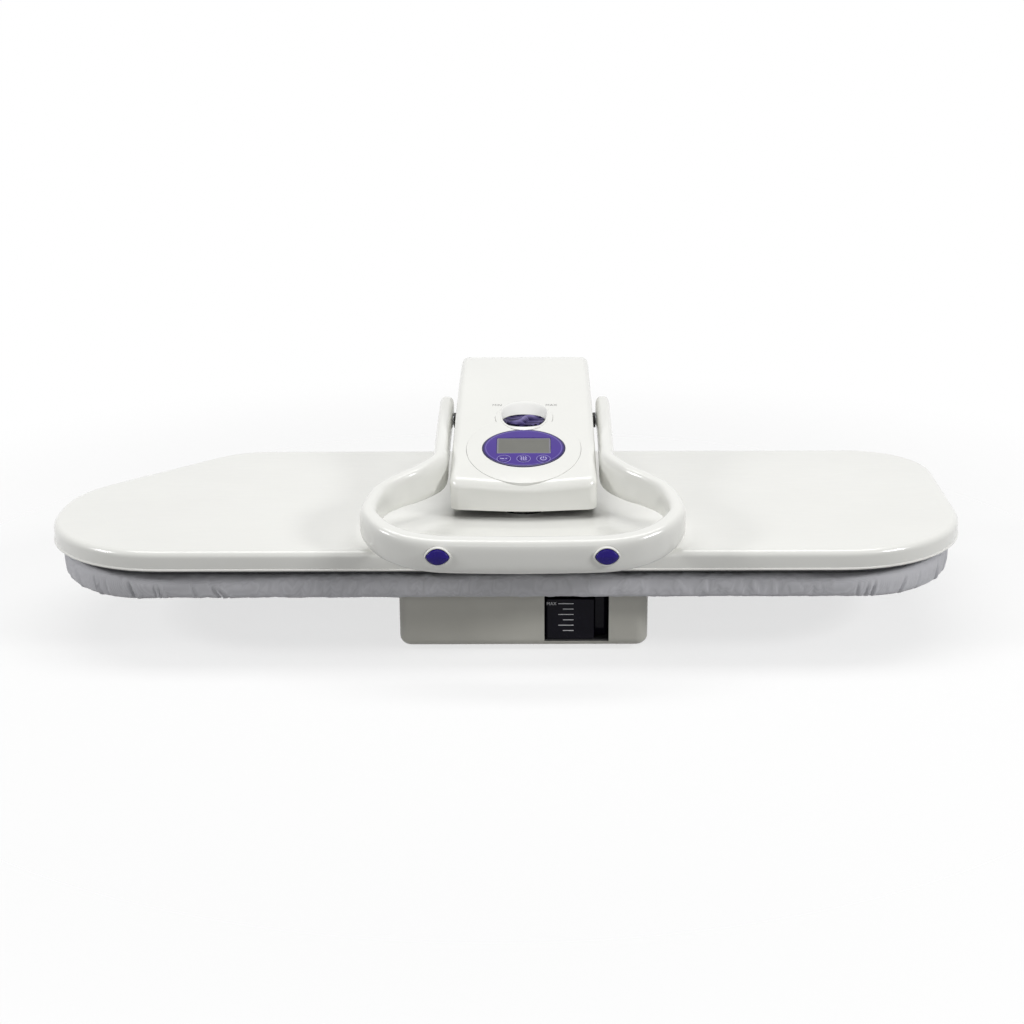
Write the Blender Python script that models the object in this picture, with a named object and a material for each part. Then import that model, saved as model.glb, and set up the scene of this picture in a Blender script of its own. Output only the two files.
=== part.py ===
# Steam ironing press with a padded lower board and a hinged, heated upper plate.
# Metres, +Z up, the front faces -Y. The floor is at z = 0.
import math

import bmesh
import bpy
from mathutils import Matrix, Vector

# Fits shared by all pieces
fit_gap = 0.0003
slide_gap = 0.0006
overrun = 0.004
least_radius = 0.0002
weld_distance = 0.00001
small_inset = 0.001

# Upper plate, seen from above: a blunt right end and a slanting nose at the left
plate_length = 1.010
plate_depth = 0.3845
plate_top = 0.129
plate_thickness = 0.022
plate_wall = 0.0025
plate_edge_radius = 0.006
front_left_radius = 0.140
front_right_radius = 0.150
rear_right_radius = 0.090
rear_left_radius = 0.090
nose_radius = 0.130
nose_cut_length = 0.167
nose_cut_depth = 0.174
right_taper = 0.008
plate_opening_radius = 0.028
nipple_opening_radius = 0.008

# Heated sole and what lies on it
sole_thickness = 0.006
sole_gap = 0.0004
steam_hole_radius = 0.0035
steam_hole_columns = 9
steam_hole_rows = 3
steam_field_length = 0.680
steam_field_depth = 0.200
element_radius = 0.0035
element_inset = 0.075
element_terminal_gap = 0.040
mat_thickness = 0.0030
mat_inset = 0.012
mat_window_margin = 0.004
chamber_length = 0.150
chamber_depth = 0.090
chamber_height = 0.0105
chamber_y = 0.060
chamber_rim = 0.006
nipple_radius = 0.0045
nipple_bore = 0.0025
nipple_height = 0.020
nipple_offset = 0.056
hanger_y = -0.040
hanger_flange_radius = 0.046
hanger_flange_thickness = 0.004
hanger_neck_radius = 0.022
thermostat_radius = 0.008
thermostat_height = 0.006
thermostat_x = -0.090
thermostat_y = 0.020

# Lower board: steel tray, foam and cloth cover
board_inset = 0.010
board_top = 0.1044
board_bottom = 0.0735
cover_thickness = 0.0012
cover_edge_radius = 0.009
cover_hem = 0.032
cover_pinch = 0.0018
cover_pinch_shares = (0, 0.4, 1, 0.5)
cover_crown_step = 0.0008
cover_crown_inset = 0.040
tray_thickness = 0.0015
tray_depth = 0.0042
tray_inset = 0.0045
tray_top = 0.083
foam_inset = 0.0008
foam_edge_radius = 0.007
rail_width = 0.030
rail_length = 0.270
rail_inset = 0.0465
rail_y = 0.005
rail_wall = 0.002

# Console, handle and base stand a little to the right of the plate's middle
console_x = 0.016

# Base
base_width = 0.269
base_front = -0.15225
base_rear_margin = 0.02075
base_bottom = 0.0077
base_top = 0.071
base_wall = 0.003
base_corner_radius = 0.014
base_top_radius = 0.006
base_bottom_radius = 0.010
pan_thickness = 0.003
foot_radius = 0.011
foot_tip_radius = 0.009
foot_inset = 0.0295
foot_front_margin = 0.03425
foot_rear_margin = 0.045

# Tank, its bay and the water parts
bay_right_margin = 0.0425
bay_width = 0.0695
bay_floor = 0.011
bay_roof = 0.064
bay_spare_depth = 0.022
bay_wall = 0.0018
tank_wall = 0.002
tank_setback = 0.002
tank_length = 0.150
tank_height = 0.046
tank_corner_radius = 0.005
grip_width = 0.015
grip_depth = 0.012
filler_radius = 0.012
filler_y = -0.118
cap_flange_radius = 0.015
cap_flange_height = 0.0032
cap_plug_depth = 0.004
spout_radius = 0.006
spout_bore = 0.003
spout_height = 0.024
spout_length = 0.009
socket_radius = 0.011
socket_length = 0.014
pump_inset = 0.0645
pump_y = -0.060
pump_height = 0.036
pump_yoke_length = 0.036
pump_yoke_width = 0.034
pump_barrel_radius = 0.011
pump_barrel_length = 0.090
pump_nozzle_radius = 0.004
pump_nozzle_length = 0.012
pump_mount_thickness = 0.008
pump_mount_width = 0.034
base_lip_share = 0.3

# Hose and loom. Their routes are shares of the bend: sideways, to the rear and up
hose_radius = 0.003
hose_bend = 0.009
riser_offset = 0.0048
riser_shares = [(0, 0, -3), (0, 0, -1.2), (0.45, 0, -0.2), (1.3, 0, 0)]
arm_bend = 0.012
feed_route_shares = [(0.7, 0, 0.45), (0.6, -0.5, 1.6)]
feed_lane_share = 0.225
feed_drop_shares = [(0, 0.2, 0.9)]
feed_turn_share = 1.2
loom_route_shares = [(0.7, 0, 0.45), (0.8, -0.5, 1.6)]
loom_lane_share = 0.9
loom_join_share = 0.4
suction_bend = 0.015
suction_start_shares = [(0, 0.6, 0), (-1, 1.5, 0)]
suction_end_shares = [(1, 2, 0), (0, 0.7, 0)]

# Electrics in the base
board_sheet = 0.0016
board_length = 0.110
board_width = 0.080
power_board_margin = 0.0165
power_board_rear_margin = 0.070
standoff_height = 0.007
standoff_radius = 0.004
transformer_length = 0.040
transformer_width = 0.034
transformer_height = 0.030
relay_length = 0.020
relay_width = 0.016
relay_height = 0.016
inlet_inset = 0.0495
inlet_height = 0.038
inlet_width = 0.028
inlet_tall = 0.020
inlet_flange = 0.003
inlet_depth = 0.020
inlet_wall = 0.0022
inlet_pin_width = 0.004
inlet_pin_thickness = 0.002
inlet_pin_length = 0.012
inlet_pin_pitch = 0.007

# Hinge at the rear
hinge_y = 0.22425
hinge_z = 0.121
hinge_pin_radius = 0.007
hinge_pin_bore = 0.0042
hinge_pin_inner = 0.014
hinge_pin_outer = 0.052
cheek_inner = 0.034
cheek_thickness = 0.004
cheek_radius = 0.017
stand_web_top = 0.090
stand_web_thickness = 0.003
stand_foot_thickness = 0.004
ear_thickness = 0.004
ear_radius = 0.018
collar_thickness = 0.0012
collar_radius = 0.010
collar_gap = 0.0005
spring_wire = 0.0013
spring_radius = 0.0115
spring_turns = 4.3
spring_pitch = 0.0034
spring_turn_points = 8
stand_cover_half = 0.044
stand_cover_top = 0.093
stand_cover_wall = 0.0022
stand_cover_corner = 0.006

# Press arm
arm_bottom = 0.145
arm_web = 0.004
arm_front = -0.062
arm_front_top = 0.158
arm_middle_y = 0.050
arm_middle_top = 0.182
arm_pivot_radius = 0.017
arm_rear_y = 0.190
arm_rear_top = 0.186
arm_floor_rear = 0.196

# Console housing, seen from above and from the side
console_half_front = 0.081
console_half_rear = 0.0775
console_front = -0.09175
console_front_side = -0.08175
console_rear = 0.23625
console_gap = 0.010
console_wall = 0.0025
console_front_corner = 0.012
console_front_bow = 0.260
console_rear_corner = 0.028
console_edge_radius = 0.009
console_rear_roll = 0.035
console_start = -0.08475
console_run = 0.290
console_front_height = 0.042
console_rise = 0.071
console_bow = 0.044
console_tail = 0.001
console_base_thickness = 0.002
console_base_rear = 0.160
console_post_radius = 0.005

# Neck: the console's skirt round the hinge
neck_radius = 0.024
neck_half = 0.0745
neck_wall = 0.0025
neck_slot_half = 0.046
neck_slot_rise = 0.013
neck_lap = 0.0003

# Display and controls
display_y = -0.02575
insert_radius = 0.064
insert_knob_radius = 0.033
insert_raise = 0.0012
insert_depth = 0.0030
lens_length = 0.093
lens_width = 0.073
lens_thickness = 0.0024
lens_ledge = 0.0018
lcd_length = 0.062
lcd_width = 0.032
lcd_thickness = 0.004
lcd_shift = 0.0035
control_board_length = 0.104
control_board_width = 0.076
panel_button_radius = 0.006
panel_button_flange = 0.0068
panel_button_flange_height = 0.0012
panel_button_proud = 0.0008
panel_button_travel = 0.0008
panel_button_pitch = 0.022
panel_button_row = -0.022
knob_y = 0.0370
knob_depth = 0.0091
cup_radius = 0.0252
cup_wall = 0.0018
knob_radius = 0.0238
knob_height = 0.0065
knob_rim = 0.0018
knob_wing_length = 0.040
knob_wing_width = 0.010
knob_wing_height = 0.0042
knob_wing_angle = 35
knob_wing_end_share = 0.92
knob_stem_radius = 0.003
potentiometer_size = 0.020
potentiometer_height = 0.008

# Handle
pivot_y = 0.110
pivot_z = 0.189
handle_arm_offset = 0.0930
handle_half_width = 0.1600
handle_bar_y = -0.2365
handle_bar_z = 0.1403
handle_tail = 0.014
handle_arm_height = 0.032
handle_arm_thickness = 0.017
handle_blade_extra = 0.010
handle_blade_share = 0.46
handle_blade_spread_share = 0.16
handle_bar_height = 0.0375
handle_bar_thickness = 0.025
handle_swell_share = 0.60
handle_swell_power = 2.2
handle_section_power = 0.62
handle_tail_shares = (0.5, 0.8, 0.96)
handle_shaft_radius = 0.006
handle_shaft_reach = 0.0965
bush_radius = 0.009
handle_button_offset = 0.0857
handle_button_length = 0.025
handle_button_width = 0.018
handle_button_rise = 0.0025
handle_button_body = 0.010
handle_button_proud = 0.0030
handle_button_travel = 0.0025
handle_button_dome_shares = (0.60, 0.90)
crank_offset = 0.0505
crank_thickness = 0.004
crank_radius = 0.011
crank_throw = 0.020
crank_eye_radius = 0.008
link_pin_radius = 0.004
link_thickness = 0.004
link_offset = 0.0455
link_eye_radius = 0.008
link_slot_half = 0.0022
link_slot_centre = 0.0016
link_head_radius = 0.0125

# Outline of the handle's left half from arm to bar, as shares of its width, reach and fall
handle_path_shares = [
    (0.000, -0.052, -0.170), (0.006, 0.163, 0.060), (0.000, 0.365, 0.255),
    (0.020, 0.455, 0.341), (0.310, 0.540, 0.424), (0.600, 0.592, 0.475),
    (0.860, 0.655, 0.536), (0.985, 0.735, 0.612), (1.020, 0.815, 0.694),
    (0.915, 0.873, 0.765), (0.725, 0.924, 0.848), (0.480, 0.957, 0.916),
    (0.240, 0.978, 0.957), (-0.122, 0.993, 0.988), (-0.794, 0.998, 0.998)]


def clear_scene():
    for thing in list(bpy.data.objects):
        bpy.data.objects.remove(thing, do_unlink=True)


def make_material(name, colour, roughness, metallic=0.0):
    material = bpy.data.materials.new(name)
    material.use_nodes = True
    shader = material.node_tree.nodes["Principled BSDF"]
    shader.inputs["Base Color"].default_value = (*colour, 1.0)
    shader.inputs["Roughness"].default_value = roughness
    shader.inputs["Metallic"].default_value = metallic
    material.diffuse_color = (*colour, 1.0)
    return material


def finish_mesh(name, work, material):
    bmesh.ops.recalc_face_normals(work, faces=work.faces)
    mesh = bpy.data.meshes.new(name)
    work.to_mesh(mesh)
    work.free()
    mesh.shade_smooth()
    mesh.set_sharp_from_angle(angle=math.radians(35))
    piece = bpy.data.objects.new(name, mesh)
    bpy.context.scene.collection.objects.link(piece)
    if material:
        piece.data.materials.append(material)
    return piece


def in_plane(point, depth, plane):
    a, b = point
    if plane == "YZ":
        return Vector((depth, a, b))
    if plane == "XZ":
        return Vector((a, depth, b))
    return Vector((a, b, depth))


def prism(name, outline, low, high, material=None, plane="XY"):
    work = bmesh.new()
    base = work.faces.new([work.verts.new(in_plane(p, low, plane)) for p in outline])
    grown = bmesh.ops.extrude_face_region(work, geom=[base])
    tops = [item for item in grown["geom"] if isinstance(item, bmesh.types.BMVert)]
    shift = in_plane((0, 0), high - low, plane)
    bmesh.ops.translate(work, verts=tops, vec=shift)
    return finish_mesh(name, work, material)


def block(name, low, high, material=None):
    outline = [(low[0], low[1]), (high[0], low[1]), (high[0], high[1]), (low[0], high[1])]
    return prism(name, outline, low[2], high[2], material)


def rounded_outline(corners, inset=0.0, segments=6, runs=None):
    # Corners are (x, y, radius), counterclockwise; inset moves the whole outline inwards
    count = len(corners)
    edges = []
    for i in range(count):
        start = Vector(corners[i][:2])
        along = (Vector(corners[(i + 1) % count][:2]) - start).normalized()
        inward = Vector((-along.y, along.x))
        edges.append((start + inward * inset, along, inward))
    arcs = []
    for i in range(count):
        before, now = edges[i - 1], edges[i]
        cross = before[1].x * now[1].y - before[1].y * now[1].x
        gap = now[0] - before[0]
        reach = (gap.x * now[1].y - gap.y * now[1].x) / cross
        corner = before[0] + before[1] * reach
        turn = math.atan2(cross, before[1].dot(now[1]))
        side = 1 if turn > 0 else -1
        radius = max(corners[i][2] - inset * side, least_radius)
        centre = corner - before[1] * radius * math.tan(abs(turn) / 2) + before[2] * radius * side
        arm = -before[2] * radius * side
        arcs.append([centre + Matrix.Rotation(turn * k / segments, 2) @ arm
                     for k in range(segments + 1)])
    points = []
    for i in range(count):
        points += arcs[i]
        extra = runs[i] if runs else 0
        first, last = arcs[i][-1], arcs[(i + 1) % count][0]
        points += [first.lerp(last, k / (extra + 1)) for k in range(1, extra + 1)]
    return points


def rectangle(left, right, low, high, radius):
    return [(left, low, radius), (right, low, radius), (right, high, radius), (left, high, radius)]


def circle(x, y, radius, segments=16):
    steps = [2 * math.pi * (k + 0.5) / segments for k in range(segments)]
    return [(x + radius * math.cos(a), y + radius * math.sin(a)) for a in steps]


def ellipse(length, width, segments=32):
    return [(x * length / 2, y * width / 2) for x, y in circle(0, 0, 1, segments)]


def cap_strips(work, loop):
    # Closes a left-right symmetric loop with strips that run across it; each end is one face
    half = len(loop) // 2
    work.faces.new([loop[i] for i in (-2, -1, 0, 1, 2)])
    for i in range(2, half - 2):
        work.faces.new((loop[-i], loop[i], loop[i + 1], loop[-i - 1]))
    work.faces.new([loop[half + i] for i in (-2, -1, 0, 1, 2)])


def loft(name, rings, material=None, strips=False):
    work = bmesh.new()
    loops = [[work.verts.new(p) for p in ring] for ring in rings]
    count = len(rings[0])
    for low, high in zip(loops, loops[1:]):
        for i in range(count):
            j = (i + 1) % count
            work.faces.new((low[i], low[j], high[j], high[i]))
    for loop in (loops[0], loops[-1]):
        if strips:
            cap_strips(work, loop)
        else:
            work.faces.new(loop)
    return finish_mesh(name, work, material)


def fillet(edge_z, inset, radius, steps=3):
    # Levels (inset, z) of a rounded top edge that ends flat at edge_z
    angles = [math.pi / 2 * k / steps for k in range(steps + 1)]
    return [(inset + radius * (1 - math.cos(a)), edge_z - radius * (1 - math.sin(a)))
            for a in angles]


def rings_at(corners, levels, segments=6):
    return [[Vector((p.x, p.y, z)) for p in rounded_outline(corners, inset, segments)]
            for inset, z in levels]


def axis_turn(direction):
    turns = {"Z": Matrix.Identity(4), "X": Matrix.Rotation(math.pi / 2, 4, "Y"),
             "Y": Matrix.Rotation(-math.pi / 2, 4, "X")}
    return turns[direction]


def turned(name, profile, centre, direction="Z", segments=16, material=None):
    # profile is (radius, height); it is a closed loop unless it starts and ends on the axis
    work = bmesh.new()
    dots = [work.verts.new((radius, 0, height)) for radius, height in profile]
    open_ends = profile[0][0] == 0
    pairs = zip(dots, dots[1:] if open_ends else dots[1:] + dots[:1])
    lines = [work.edges.new(pair) for pair in pairs]
    bmesh.ops.spin(work, geom=dots + lines, cent=(0, 0, 0), axis=(0, 0, 1),
                   angle=2 * math.pi, steps=segments, use_merge=True)
    bmesh.ops.remove_doubles(work, verts=work.verts, dist=weld_distance)
    work.transform(Matrix.Translation(centre) @ axis_turn(direction))
    return finish_mesh(name, work, material)


def rod(name, centre, radius, length, direction="Z", segments=16, material=None):
    profile = [(0, 0), (radius, 0), (radius, length), (0, length)]
    return turned(name, profile, centre, direction, segments, material)


def sleeve(name, centre, radius, bore, length, direction="Z", segments=16, material=None):
    profile = [(bore, 0), (radius, 0), (radius, length), (bore, length)]
    return turned(name, profile, centre, direction, segments, material)


def smooth_route(points, steps=4):
    # Catmull-Rom curve through hand-placed points
    ends = [points[0] * 2 - points[1]] + points + [points[-1] * 2 - points[-2]]
    route = []
    for a, b, c, d in zip(ends, ends[1:], ends[2:], ends[3:]):
        for k in range(steps):
            t = k / steps
            route.append(0.5 * ((2 * b) + (c - a) * t + (2 * a - 5 * b + 4 * c - d) * t ** 2
                                + (3 * b - a - 3 * c + d) * t ** 3))
    return route + [points[-1]]


def hose_path(points, steps=3):
    # The first and last stretches stay straight, so that the ends are square
    return [points[0]] + smooth_route(points[1:-1], steps) + [points[-1]]


def tube(name, points, radius, material, resolution=1):
    curve = bpy.data.curves.new(name, "CURVE")
    curve.dimensions = "3D"
    curve.bevel_depth = radius
    curve.bevel_resolution = resolution
    curve.use_fill_caps = True
    spline = curve.splines.new("POLY")
    spline.points.add(len(points) - 1)
    for dot, place in zip(spline.points, points):
        dot.co = (*place, 1.0)
    piece = bpy.data.objects.new(name, curve)
    bpy.context.scene.collection.objects.link(piece)
    curve.materials.append(material)
    return piece


def combine(piece, other, operation):
    modifier = piece.modifiers.new(operation.lower(), "BOOLEAN")
    modifier.operation = operation
    modifier.object = other
    other.hide_render = True
    other.display_type = "WIRE"


def cut(piece, other):
    combine(piece, other, "DIFFERENCE")


def join(piece, other):
    combine(piece, other, "UNION")


def round_edges(piece, width, segments=2, angle=50):
    modifier = piece.modifiers.new("rounding", "BEVEL")
    modifier.width = width
    modifier.segments = segments
    modifier.limit_method = "ANGLE"
    modifier.angle_limit = math.radians(angle)


# Where each body's empty stands: the root at the origin, the others on their joint's axis
axis_points = {}


def make_carrier(name, point, parent=None):
    carrier = bpy.data.objects.new(name, None)
    bpy.context.scene.collection.objects.link(carrier)
    axis_points[name] = Vector(point)
    carrier.parent = parent
    carrier.location = axis_points[name] - axis_points[parent.name] if parent else Vector(point)
    return carrier


def mount(carrier, *pieces):
    for piece in pieces:
        piece.parent = carrier
        piece.location = -axis_points[carrier.name]
        for modifier in piece.modifiers:
            if modifier.type == "BOOLEAN" and modifier.object.parent is None:
                mount(carrier, modifier.object)


# Places worked out from the sizes above
plate_bottom = plate_top - plate_thickness
sole_bottom = board_top + sole_gap
sole_top = sole_bottom + sole_thickness
plate_ceiling = plate_top - plate_wall
console_bottom = plate_top + console_gap
pan_top = base_bottom + pan_thickness
base_rear = hinge_y + base_rear_margin
foot_front = base_front + foot_front_margin
foot_rear = base_rear - foot_rear_margin
power_board_y = base_rear - power_board_rear_margin - board_width / 2
bay_depth = tank_length + bay_spare_depth
bay_left = base_width / 2 - bay_right_margin - bay_width
pump_x = pump_inset - base_width / 2
power_board_x = base_wall + power_board_margin + board_length / 2 - base_width / 2
inlet_x = inlet_inset - base_width / 2
rail_offset = base_width / 2 - rail_inset
foot_spread = base_width / 2 - foot_inset
hinge = Vector((console_x, hinge_y, hinge_z))
pivot = Vector((console_x, pivot_y, pivot_z))
link_angle = math.atan2(hinge_z - pivot_z, hinge_y - pivot_y)
crank_pin_y = pivot_y + crank_throw * math.cos(link_angle)
crank_pin_z = pivot_z + crank_throw * math.sin(link_angle)


def plate_corners():
    right = plate_length / 2
    rear = plate_depth / 2
    return [(-right, -rear, front_left_radius), (right - right_taper, -rear, front_right_radius),
            (right, rear, rear_right_radius), (-right + nose_cut_length, rear, rear_left_radius),
            (-right, rear - nose_cut_depth, nose_radius)]


def console_top(y, wall=0.0):
    # Height of the console's crown at depth y, with its rear rolled down
    share = (y - console_start) / console_run
    rise = console_front_height + console_rise * share + console_bow * share * (1 - share)
    rise += console_tail * share ** 3
    radius = console_rear_roll - wall
    over = min(max(0.0, y - console_rear + console_rear_roll), radius)
    return plate_top + rise - console_rear_roll + math.sqrt(radius ** 2 - over ** 2)


def console_corners():
    return [(0, console_front, console_front_bow),
            (console_half_front, console_front_side, console_front_corner),
            (console_half_rear, console_rear, console_rear_corner),
            (-console_half_rear, console_rear, console_rear_corner),
            (-console_half_front, console_front_side, console_front_corner)]


def console_ring(inset, drop=None, height=0.0, wall=0.0):
    # A left-right symmetric loop round the console, under its crown or at a flat height
    points = rounded_outline(console_corners(), inset, 4, [0, 9, 0, 9, 0])
    right = [(p.x, p.y) for p in points if p.x > weld_distance]
    front = min(p.y for p in points)
    rear = max(p.y for p in points)
    loop = [(0, front)] + right + [(0, rear)] + [(-x, y) for x, y in reversed(right)]
    return [Vector((console_x + x, y, height if drop is None else console_top(y, wall) - drop))
            for x, y in loop]


# Upper plate

def build_plate_cover(white):
    outer = [(0, plate_bottom)] + fillet(plate_top, 0, plate_edge_radius)
    inner_radius = plate_edge_radius - plate_wall
    inner = [(plate_wall, plate_bottom)] + fillet(plate_ceiling, plate_wall, inner_radius, 2)
    levels = inner[::-1] + outer
    cover = loft("plate_cover", rings_at(plate_corners(), levels, 8), white)
    cut(cover, rod("cut_hanger_opening", (console_x, hanger_y, plate_ceiling - overrun),
                   plate_opening_radius, plate_wall + 2 * overrun))
    cut(cover, rod("cut_nipple_opening", (console_x + nipple_offset, chamber_y,
                   plate_ceiling - overrun), nipple_opening_radius, plate_wall + 2 * overrun))
    return cover


def build_sole_plate(aluminium):
    inset = plate_wall + fit_gap
    levels = [(inset + small_inset, sole_bottom), (inset, sole_bottom + small_inset),
              (inset, sole_top)]
    sole = loft("sole_plate", rings_at(plate_corners(), levels, 8), aluminium)
    cutters = bmesh.new()
    for row in range(steam_hole_rows):
        for column in range(steam_hole_columns):
            x = steam_field_length * (column / (steam_hole_columns - 1) - 1 / 2)
            y = steam_field_depth * (row / (steam_hole_rows - 1) - 1 / 2)
            place = Matrix.Translation((x, y, (sole_bottom + sole_top) / 2))
            bmesh.ops.create_cone(cutters, cap_ends=True, segments=6, radius1=steam_hole_radius,
                                  radius2=steam_hole_radius, depth=sole_thickness + 2 * overrun,
                                  matrix=place)
    cut(sole, finish_mesh("cut_steam_holes", cutters, None))
    return sole


def build_heating_element(steel):
    height = sole_top + fit_gap + element_radius
    loop = rounded_outline(plate_corners(), element_inset, 6)
    # The loop opens at the middle of the front edge, where its two terminals lie
    first = next(i for i, p in enumerate(loop) if p.x > 0)
    ordered = loop[first:] + loop[:first]
    start = Vector((console_x + element_terminal_gap, ordered[0].y))
    end = Vector((console_x - element_terminal_gap, ordered[0].y))
    points = [Vector((p.x, p.y, height)) for p in [start] + ordered + [end]]
    return tube("heating_element", points, element_radius, steel)


def build_insulation_mat(wool):
    top = plate_ceiling - fit_gap
    levels = [(mat_inset, top - mat_thickness), (mat_inset, top)]
    mat = loft("insulation_mat", rings_at(plate_corners(), levels, 6), wool)
    half = chamber_length / 2 + mat_window_margin
    low = hanger_y - hanger_flange_radius - mat_window_margin
    high = chamber_y + chamber_depth / 2 + mat_window_margin
    window = block("cut_mat_window", (console_x - half, low, top - mat_thickness - overrun),
                   (console_x + half, high, top + overrun))
    cut(mat, window)
    return mat


def build_steam_chamber(aluminium):
    half_x, half_y = chamber_length / 2, chamber_depth / 2
    base = sole_top + fit_gap
    corners = rectangle(console_x - half_x, console_x + half_x, chamber_y - half_y,
                        chamber_y + half_y, 2 * chamber_rim)
    step = base + chamber_height / 2
    levels = [(0, base), (0, step), (chamber_rim, step + small_inset),
              (chamber_rim, base + chamber_height)]
    chamber = loft("steam_chamber", rings_at(corners, levels, 3), aluminium)
    foot = Vector((console_x + nipple_offset, chamber_y, base + chamber_height - small_inset))
    join(chamber, rod("join_nipple", foot, nipple_radius, nipple_height, segments=12))
    bore = rod("cut_nipple_bore", foot, nipple_bore, nipple_height + overrun, segments=8)
    cut(chamber, bore)
    return chamber


def build_plate_hanger(casting):
    base = sole_top + fit_gap
    top = arm_bottom - fit_gap - base
    slope = hanger_neck_radius + hanger_flange_thickness
    profile = [(0, 0), (hanger_flange_radius, 0), (hanger_flange_radius, hanger_flange_thickness),
               (slope, hanger_flange_thickness + small_inset),
               (hanger_neck_radius, 2 * hanger_flange_thickness), (hanger_neck_radius, top),
               (0, top)]
    return turned("plate_hanger", profile, (console_x, hanger_y, base), segments=24,
                  material=casting)


def build_plate_thermostat(black):
    return rod("plate_thermostat", (thermostat_x, thermostat_y, sole_top + fit_gap),
               thermostat_radius, thermostat_height, segments=14, material=black)


# Lower board

def build_board_tray(steel):
    inset = board_inset + tray_inset
    rim = tray_top - tray_depth
    ceiling = tray_top - tray_thickness
    levels = [(inset + tray_thickness, ceiling), (inset + tray_thickness, rim), (inset, rim),
              (inset, tray_top)]
    return loft("board_tray", rings_at(plate_corners(), levels, 6), steel)


def build_foam_pad(foam):
    inset = board_inset + cover_thickness + foam_inset
    low = tray_top + fit_gap
    high = board_top - cover_crown_step - cover_thickness - fit_gap
    levels = [(inset + small_inset, low), (inset, (low + high) / 2)]
    levels += fillet(high, inset, foam_edge_radius, 2)
    levels += [(inset + cover_crown_inset, high + cover_crown_step)]
    return loft("foam_pad", rings_at(plate_corners(), levels, 5), foam)


def build_pad_cover(cloth):
    # The cloth's lower edge is drawn in by gathers that follow the rounded corners
    corners = plate_corners()
    segments = 10
    edge = board_top - cover_crown_step
    middle = (board_bottom + edge) / 2
    none, slight, full, part = cover_pinch_shares
    outer = [(board_inset + cover_hem, board_bottom, none),
             (board_inset + cover_edge_radius / 2, board_bottom, slight),
             (board_inset, board_bottom + cover_edge_radius / 2, full),
             (board_inset - small_inset, middle, part)]
    outer += [(inset, z, none) for inset, z in fillet(edge, board_inset, cover_edge_radius, 3)]
    outer += [(board_inset + cover_crown_inset, board_top, none)]
    inner = [(board_inset + cover_hem, board_bottom + cover_thickness, none)]
    inner += [(board_inset + cover_thickness + cover_edge_radius / 2, board_bottom
               + cover_thickness, slight),
              (board_inset + cover_thickness, board_bottom + cover_edge_radius / 2, full),
              (board_inset + cover_thickness - small_inset, middle, part)]
    inner += [(inset, z, none) for inset, z in
              fillet(edge - cover_thickness, board_inset + cover_thickness,
                     cover_edge_radius - cover_thickness, 2)]
    inner += [(board_inset + cover_crown_inset, board_top - cover_thickness, none)]
    rings = []
    for inset, z, pinch in inner[::-1] + outer:
        flat = rounded_outline(corners, inset, segments)
        drawn = rounded_outline(corners, inset + cover_pinch * pinch, segments)
        ring = []
        for i, (loose, tight) in enumerate(zip(flat, drawn)):
            gathered = i % (segments + 1) % 2 == 1
            ring.append(Vector((*(tight if gathered else loose), z)))
        rings.append(ring)
    return loft("pad_cover", rings, cloth)


def build_board_rail(name, side, steel):
    # A hat-section rail between the base and the tray
    low = base_top + fit_gap
    high = tray_top - tray_thickness - fit_gap
    centre = console_x + side * rail_offset
    half = rail_width / 2
    foot = half / 2
    outline = [(centre - half, low), (centre - foot, low),
               (centre - foot + rail_wall, high - rail_wall),
               (centre + foot - rail_wall, high - rail_wall), (centre + foot, low),
               (centre + half, low), (centre + half, low + rail_wall),
               (centre + foot + rail_wall, low + rail_wall), (centre + foot, high),
               (centre - foot, high), (centre - foot - rail_wall, low + rail_wall),
               (centre - half, low + rail_wall)]
    return prism(name, outline, rail_y - rail_length / 2, rail_y + rail_length / 2, steel, "XZ")


# Base

def base_corners():
    half = base_width / 2
    return rectangle(console_x - half, console_x + half, base_front, base_rear, base_corner_radius)


def build_base_housing(grey):
    soft = base_bottom_radius * base_lip_share
    lip = [(base_bottom_radius, base_bottom), (soft, base_bottom + soft),
           (0, base_bottom + base_bottom_radius)]
    outer = lip + fillet(base_top, 0, base_top_radius, 3)
    inner = [(base_bottom_radius, pan_top), (base_wall, base_bottom + base_bottom_radius
             + base_wall), (base_wall, base_top - base_wall)]
    levels = inner[::-1] + outer
    housing = loft("base_housing", rings_at(base_corners(), levels, 5), grey)
    left = console_x + bay_left
    cut(housing, block("cut_bay_mouth", (left, base_front - overrun, bay_floor),
                       (left + bay_width, base_front + base_bottom_radius + overrun, bay_roof)))
    seat = bay_wall + fit_gap
    cut(housing, block("cut_bay_seat", (left - seat, base_front + base_wall, pan_top - small_inset),
                       (left + bay_width + seat, base_front + 2 * base_bottom_radius,
                        bay_roof + seat)))
    slot = cheek_inner + cheek_thickness + base_wall
    cut(housing, block("cut_stand_opening",
                       (console_x - slot, hinge_y - cheek_radius - base_wall,
                        base_top - base_wall - overrun),
                       (console_x + slot, base_rear - base_wall, base_top + overrun)))
    half = inlet_width / 2 - inlet_wall + fit_gap
    tall = inlet_tall / 2 - inlet_wall + fit_gap
    cut(housing, block("cut_inlet_opening",
                       (console_x + inlet_x - half, base_rear - base_wall - overrun,
                        inlet_height - tall),
                       (console_x + inlet_x + half, base_rear + overrun, inlet_height + tall)))
    return housing


def build_base_pan(steel):
    inset = base_bottom_radius + fit_gap
    levels = [(inset, base_bottom), (inset, pan_top)]
    pan = loft("base_pan", rings_at(base_corners(), levels, 3), steel)
    for i, (x, y) in enumerate(standoff_places()):
        post = rod(f"join_standoff_{i}", (x, y, pan_top - small_inset), standoff_radius,
                   standoff_height + small_inset, segments=8)
        join(pan, post)
    return pan


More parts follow.
